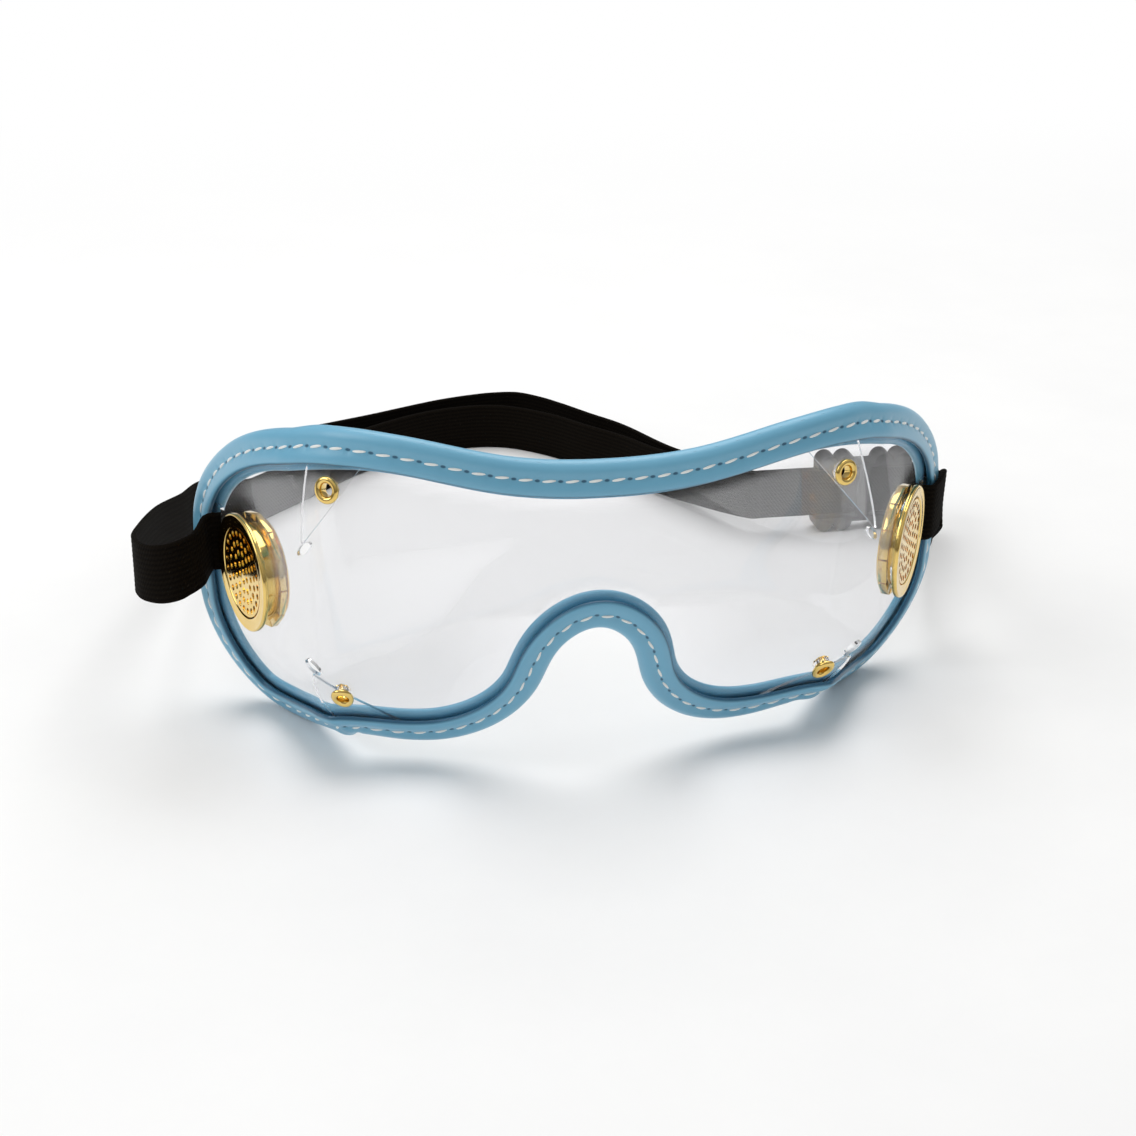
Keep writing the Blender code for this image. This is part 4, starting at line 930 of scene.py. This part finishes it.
# %% Turned eyelet with petals
EYELET_PROFILE = [
    (1.85, 0.98), (2.45, 1.0), (2.62, 1.2), (2.62, 1.45), (2.45, 1.75), (2.15, 1.92), (1.8, 1.94),
    (1.5, 1.8), (1.32, 1.5), (1.25, 0.9), (1.25, -0.6), (1.35, -0.8), (1.75, -0.82), (1.75, -0.58),
    (1.62, -0.5), (1.62, 0.85),
]
PETALS, PETAL_REACH = 8, 1.95
PETAL_SHAPE = [(1.5, -0.5), (PETAL_REACH, -0.12), (PETAL_REACH, 0.12), (1.5, 0.5)]
PETAL_FRONT, PETAL_BACK = -0.58, -0.79
eyelet = turned("eyelet", EYELET_PROFILE, 40)
for petal in range(PETALS):
    angle = 2 * math.pi * petal / PETALS
    cosine, sine = math.cos(angle), math.sin(angle)
    petal_outline = [(reach * cosine - aside * sine, reach * sine + aside * cosine)
                     for reach, aside in PETAL_SHAPE]
    boolean(eyelet, slab(petal_outline, PETAL_FRONT, PETAL_BACK), "UNION")
for hand, side_name in ((-1, "left"), (1, "right")):
    for level, centre in (("upper", UPPER_EYELETS[hand]), ("lower", LOWER_EYELETS[hand])):
        copy = copy_of(eyelet, "eyelet_" + level + "_" + side_name + "_set")
        moved_to(copy, (hand * centre[0], centre[1]))
        bend_onto_face(copy)
        finish_piece(copy, brass, "eyelet_" + level + "_" + side_name, sharp=math.radians(45))
bpy.data.objects.remove(eyelet)

# %% [markdown]
# ## The elastic strap
# One band of ribbed elastic, 13.5 mm wide, stands on its edge. It starts under the left vent,
# comes out through the left slot, runs round the back to the slide, turns at the right corner,
# goes behind the right temple and through its slot, and comes back as the outer layer, whose free
# tail ends behind the brow. The band's section is carried along that route.

# %% Route of the strap
STRAP_WIDTH, STRAP_THICKNESS = 13.5, 1.2
OVER_FLAP, UNDER_LENS = 2.8, 1.3
TABLE, OFF_TABLE, RUN_LEVEL = 6.75, 7.45, 11.3
RUN_Y, LAYER_OFFSET = 125.0, 0.75


def on_pattern(u, front):
    return bent([(u, -front, SLOT_Z)])[0]


LEFT_END = [
    on_pattern(-87.78, -UNDER_LENS), on_pattern(-92.05, -UNDER_LENS), on_pattern(-96.33, -UNDER_LENS),
    on_pattern(-98.13, -UNDER_LENS / 2), on_pattern(-98.73, 0.6), on_pattern(-99.03, 2.42),
]
LEFT_LOOP = [
    (-78.3, 41.4, 40.2), (-82.5, 39.0, 39.2), (-86.1, 40.0, 38.1), (-89.4, 44.0, 37.1), (-91.1, 51.1, 35.7),
    (-90.1, 64.6, 32.5), (-86.8, 85.6, 27.3), (-81.4, 109.7, 20.0), (-74.1, 140.9, 10.9),
]
MAIN_RUN = [
    (-63.0, 150.3), (-47.0, 165.8), (-31.0, 182.0), (-11.5, 194.1), (0.0, 197.5), (8.0, 198.0),
    (15.6, 195.9), (26.0, 188.0), (34.5, 177.9), (43.0, 168.2),
]
TAIL = [
    (45.0, 177.0), (37.5, 187.2), (30.5, 197.0), (25.5, 203.0), (19.3, 207.9), (12.5, 208.5), (6.8, 207.7),
    (-4.5, 204.5), (-27.0, 194.4), (-47.0, 186.3), (-57.0, 182.6),
]
HAIRPIN = [(101.03, 2.8), (99.27, 2.3), (98.43, 1.06)]
CORNER_CENTRE, CORNER_RADIUS = np.array([113.5, 119.8]), 5.2
SIDE_BOW = 2.4
TEMPLE_EDGE_U = 108.9


def side_of_slide(layer):
    """The straight run, the back corner and the way to the temple; layer -1 inside, 1 outside."""
    y = RUN_Y + layer * LAYER_OFFSET
    points = [(x, y, RUN_LEVEL) for x in (69.6, 72.0, 91.5, 111.1, 113.5)]
    radius = CORNER_RADIUS + layer * LAYER_OFFSET
    for angle in np.radians([23, 46, 69, 92, 115]):
        x, y = CORNER_CENTRE + radius * np.array([math.sin(angle), math.cos(angle)])
        points.append((x, y, RUN_LEVEL))
    start, end = np.array(points[-1]), on_pattern(TEMPLE_EDGE_U, layer * OVER_FLAP)
    for share in (0.12, 0.30, 0.50, 0.70, 0.88):
        point = start + share * (end - start)
        point[0] -= SIDE_BOW * math.sin(math.pi * share ** 2)
        point[2] = start[2] + share ** 2 * (end[2] - start[2])
        points.append(tuple(point))
    return points + [tuple(end)]


route = LEFT_END + LEFT_LOOP + [(x, y, TABLE) for x, y in MAIN_RUN] + [(51.0, 153.8, OFF_TABLE)]
route += side_of_slide(-1)
route += [on_pattern(u, -front) for u, front in HAIRPIN]
route += [on_pattern(u, front) for u, front in HAIRPIN[::-1]]
route += side_of_slide(1)[::-1] + [(55.0, 154.8, OFF_TABLE)] + [(x, y, TABLE) for x, y in TAIL]


# %% Smooth line through the route
def through(points, pieces):
    """A smooth line through points, straight where they lie in line."""
    points = [np.array(p, float) for p in points]
    points = [2 * points[0] - points[1]] + points + [2 * points[-1] - points[-2]]
    line = []
    for p0, p1, p2, p3 in zip(points, points[1:], points[2:], points[3:]):
        t1 = math.sqrt(np.linalg.norm(p1 - p0))
        t2 = t1 + math.sqrt(np.linalg.norm(p2 - p1))
        t3 = t2 + math.sqrt(np.linalg.norm(p3 - p2))
        for t in np.linspace(t1, t2, pieces, endpoint=False):
            a1, a2 = p0 + (p1 - p0) * t / t1, p1 + (p2 - p1) * (t - t1) / (t2 - t1)
            a3 = p2 + (p3 - p2) * (t - t2) / (t3 - t2)
            b1, b2 = a1 + (a2 - a1) * t / t2, a2 + (a3 - a2) * (t - t1) / (t3 - t1)
            line.append(b1 + (b2 - b1) * (t - t1) / (t2 - t1))
    return np.array(line + [points[-2]])


ALONG_STRAP = 576
CROWDING, TIGHTEST_COUNTED = 6, 0.5
dense = through(route, 60)
dense[:, 2] = np.maximum(dense[:, 2], TABLE)
strap_run = run_along(dense)
tight = np.linalg.norm(np.gradient(np.gradient(dense, strap_run, axis=0), strap_run, axis=0), axis=1)
crowded = 1 + CROWDING * np.minimum(tight[1:], TIGHTEST_COUNTED)
crowd = np.concatenate([[0], np.cumsum(np.diff(strap_run) * crowded)])
strap_steps = np.interp(np.linspace(0, crowd[-1], ALONG_STRAP + 1), crowd, strap_run)
middle = picked_along(dense, strap_run, strap_steps)
print("strap's length, mm:", round(strap_run[-1]))

# %% Section of the elastic
AROUND_STRAP = 112
RIBS, RIB_DEPTH = 12, 0.07
EDGE_ROUNDING = 0.7
SHORT_OF_EDGE = 0.9995
half_band = STRAP_WIDTH / 2
circle_across = half_band * np.cos(np.linspace(0, 2 * math.pi, AROUND_STRAP, endpoint=False))
turn_band = np.sin(np.linspace(0, 2 * math.pi, AROUND_STRAP, endpoint=False))
across_band = half_band * (2 / math.pi) * np.arcsin(circle_across / half_band * SHORT_OF_EDGE)
into_edge = np.clip((np.abs(across_band) - half_band + EDGE_ROUNDING) / EDGE_ROUNDING, 0, 1)
edge_round = np.sqrt(np.clip(1 - into_edge ** 2, 0, 1))
ribbing = 0.5 + 0.5 * np.cos(2 * math.pi * (across_band / STRAP_WIDTH + 0.5) * RIBS + math.pi)
band_depth = np.sign(turn_band) * edge_round * (STRAP_THICKNESS / 2 - RIB_DEPTH * (1 - ribbing))

# %% Lay the strap
strap, station, around = grid_for_tube("elastic_strap", ALONG_STRAP, AROUND_STRAP)
onward = np.gradient(middle, axis=0)
onward /= np.linalg.norm(onward, axis=1)[:, None]
upward = np.array([0, 0, 1]) - onward * onward[:, 2:]
upward /= np.linalg.norm(upward, axis=1)[:, None]
outward = np.cross(onward, upward)
laid = middle[station] + upward[station] * across_band[around][:, None]
laid += outward[station] * band_depth[around][:, None]
write_points(strap, laid)
rib_layer = strap.data.attributes.new("rib_height", "FLOAT", "POINT")
rib_layer.data.foreach_set("value", ribbing[around])
add_map(strap, "strip", np.stack([strap_steps[station], across_band[around]], axis=1))
edit(strap)
bpy.ops.mesh.remove_doubles(threshold=0.001)
bpy.ops.mesh.fill_holes(sides=0)
bpy.ops.mesh.select_all(action="SELECT")
bpy.ops.mesh.normals_make_consistent(inside=False)
bpy.ops.object.mode_set(mode="OBJECT")
set_down(strap)
finish_piece(strap, elastic, "strap", sharp=math.radians(70))

# %% [markdown]
# ## The slide
# A moulded ladder that both layers of the strap pass through. Its two rails carry rounded lobes
# for the fingers. It rides on its own body, because it runs along the strap.

# %% Mould the slide
SLIDE_HALF_LENGTH, LOBE_RADIUS = 13.0, 2.6
SLIDE_INNER, SLIDE_RAIL, SLIDE_DEPTH = 7.2, 1.2, 2.75
SLIDE_PLACE = (100.0, RUN_Y, RUN_LEVEL)
LOBE_CENTRES = [-10.4, -5.2, 5.2, 10.4]
BAR_HALF_LENGTH = 7.8
BARS = [(-12.95, -10.6, 1.65, 2.74), (10.6, 12.95, 1.65, 2.74), (-1.5, 1.5, -2.74, -1.65)]
SLIDE_BEVEL, SLIDE_BEVEL_FROM = 0.3, math.radians(40)


def rail(up):
    """A side rail with two lobes at each end."""
    points = [(-SLIDE_HALF_LENGTH, SLIDE_INNER)]
    for lobe in LOBE_CENTRES:
        for angle in np.linspace(math.pi, 0, 13):
            point = (lobe + LOBE_RADIUS * math.cos(angle),
                     SLIDE_INNER + SLIDE_RAIL + LOBE_RADIUS * math.sin(angle))
            if math.dist(point, points[-1]) > 0.05:
                points.append(point)
    points.append((SLIDE_HALF_LENGTH, SLIDE_INNER))
    return slab([(x, up * z) for x, z in points], SLIDE_DEPTH, -SLIDE_DEPTH)


slide = rail(1)
for left_end, right_end, front_face, back_face in BARS:
    bar_low = (left_end, front_face, -BAR_HALF_LENGTH)
    bar_high = (right_end, back_face, BAR_HALF_LENGTH)
    boolean(slide, block(bar_low, bar_high), "UNION")
boolean(slide, rail(-1), "UNION")
apply_modifier(
    slide, "BEVEL", width=SLIDE_BEVEL, segments=3, limit_method="ANGLE", angle_limit=SLIDE_BEVEL_FROM)
slide.name = slide.data.name = "moulded_slide"
write_points(slide, read_points(slide) + SLIDE_PLACE)
set_down(slide)
finish_piece(slide, nylon, "strap_slide", body=SLIDE_BODY)

# %% [markdown]
# ## Cloth, lamps and sky
# The goggles lie on a pale studio cloth, which runs on past the edge of the picture. One large
# soft lamp above and behind gives the shadow that falls towards the camera, a weaker one on the
# left lights that side, and the sky is a pale tent, darker low down so that the brass has
# something to mirror.

# %% Cloth
cloth_finish, tree, shader = new_material("pale_studio_cloth", "#F0F0F0", roughness=0.9)
place = add_node(tree, "TexCoord").outputs["Object"]
# The cloth is flat, so a noise paints it a little darker and lighter: painted shade and light of soft
# creases.
crease_shading = add_node(tree, "TexNoise", {"Vector": place, "Scale": 14.0, "Detail": 6.0, "Roughness": 0.65})
tree.links.new(mixed(tree, crease_shading.outputs["Fac"], "#ECECEC", "#F5F5F4"), shader.inputs["Base Color"])
rays = add_node(tree, "LightPath").outputs
outright = add_node(tree, "Math", {0: rays["Is Camera Ray"], 1: rays["Is Glossy Ray"]}, operation="MAXIMUM")
looked_at = add_node(tree, "Math", {
    0: outright.outputs[0], 1: rays["Is Transmission Ray"],
}, operation="MAXIMUM")
away = add_node(tree, "MapRange", {
    "Value": add_node(tree, "SeparateXYZ", {0: place}).outputs["Y"], "From Min": 0.10, "From Max": 0.55,
}, interpolation_type="SMOOTHSTEP")
fade = add_node(tree, "Math", {0: looked_at.outputs[0], 1: away.outputs[0]}, operation="MULTIPLY")
white = add_node(tree, "Emission", {"Color": linear("#FFFFFF"), "Strength": 1.0})
surface = add_node(tree, "MixShader", {0: fade.outputs[0], 1: shader.outputs[0], 2: white.outputs[0]})
tree.links.new(surface.outputs[0], tree.nodes["Material Output"].inputs["Surface"])
clear_selection()
bpy.ops.mesh.primitive_plane_add(size=20, location=(0, 1.2, 0))
cloth = added("studio_cloth")
cloth.data.materials.append(cloth_finish)


# %% Lamps
def softbox(name, place, aim, size, power):
    lamp = bpy.data.objects.new(name, bpy.data.lights.new(name, "AREA"))
    lamp.data.shape = "DISK"
    lamp.data.size = size
    lamp.data.energy = power
    lamp.location = place
    lamp.rotation_euler = (Vector(place) - Vector(aim)).to_track_quat("Z", "Y").to_euler()
    bpy.context.scene.collection.objects.link(lamp)


softbox("back_top_lamp", (0.12, 0.30, 1.1), (0.0, -0.02, 0.0), 1.1, 8.0)
softbox("left_fill_lamp", (-1.0, -0.25, 0.8), (0.0, -0.05, 0.02), 0.9, 5.0)

# %% Sky
world = bpy.data.worlds.new("pale_tent")
bpy.context.scene.world = world
world.use_nodes = True
tree = world.node_tree
direction = add_node(tree, "TexCoord").outputs["Generated"]
upwards = add_node(tree, "SeparateXYZ", {0: direction}).outputs["Z"]
rise = add_node(tree, "MapRange", {"Value": upwards, "From Min": -0.1, "From Max": 0.7})
tent = mixed(tree, rise.outputs[0], "#74716E", "#FAFAFA")
sky = tree.nodes["Background"]
tree.links.new(tent, sky.inputs["Color"])
sky.inputs["Strength"].default_value = 0.60

# %% Colour management
bpy.context.scene.view_settings.view_transform = "Standard"
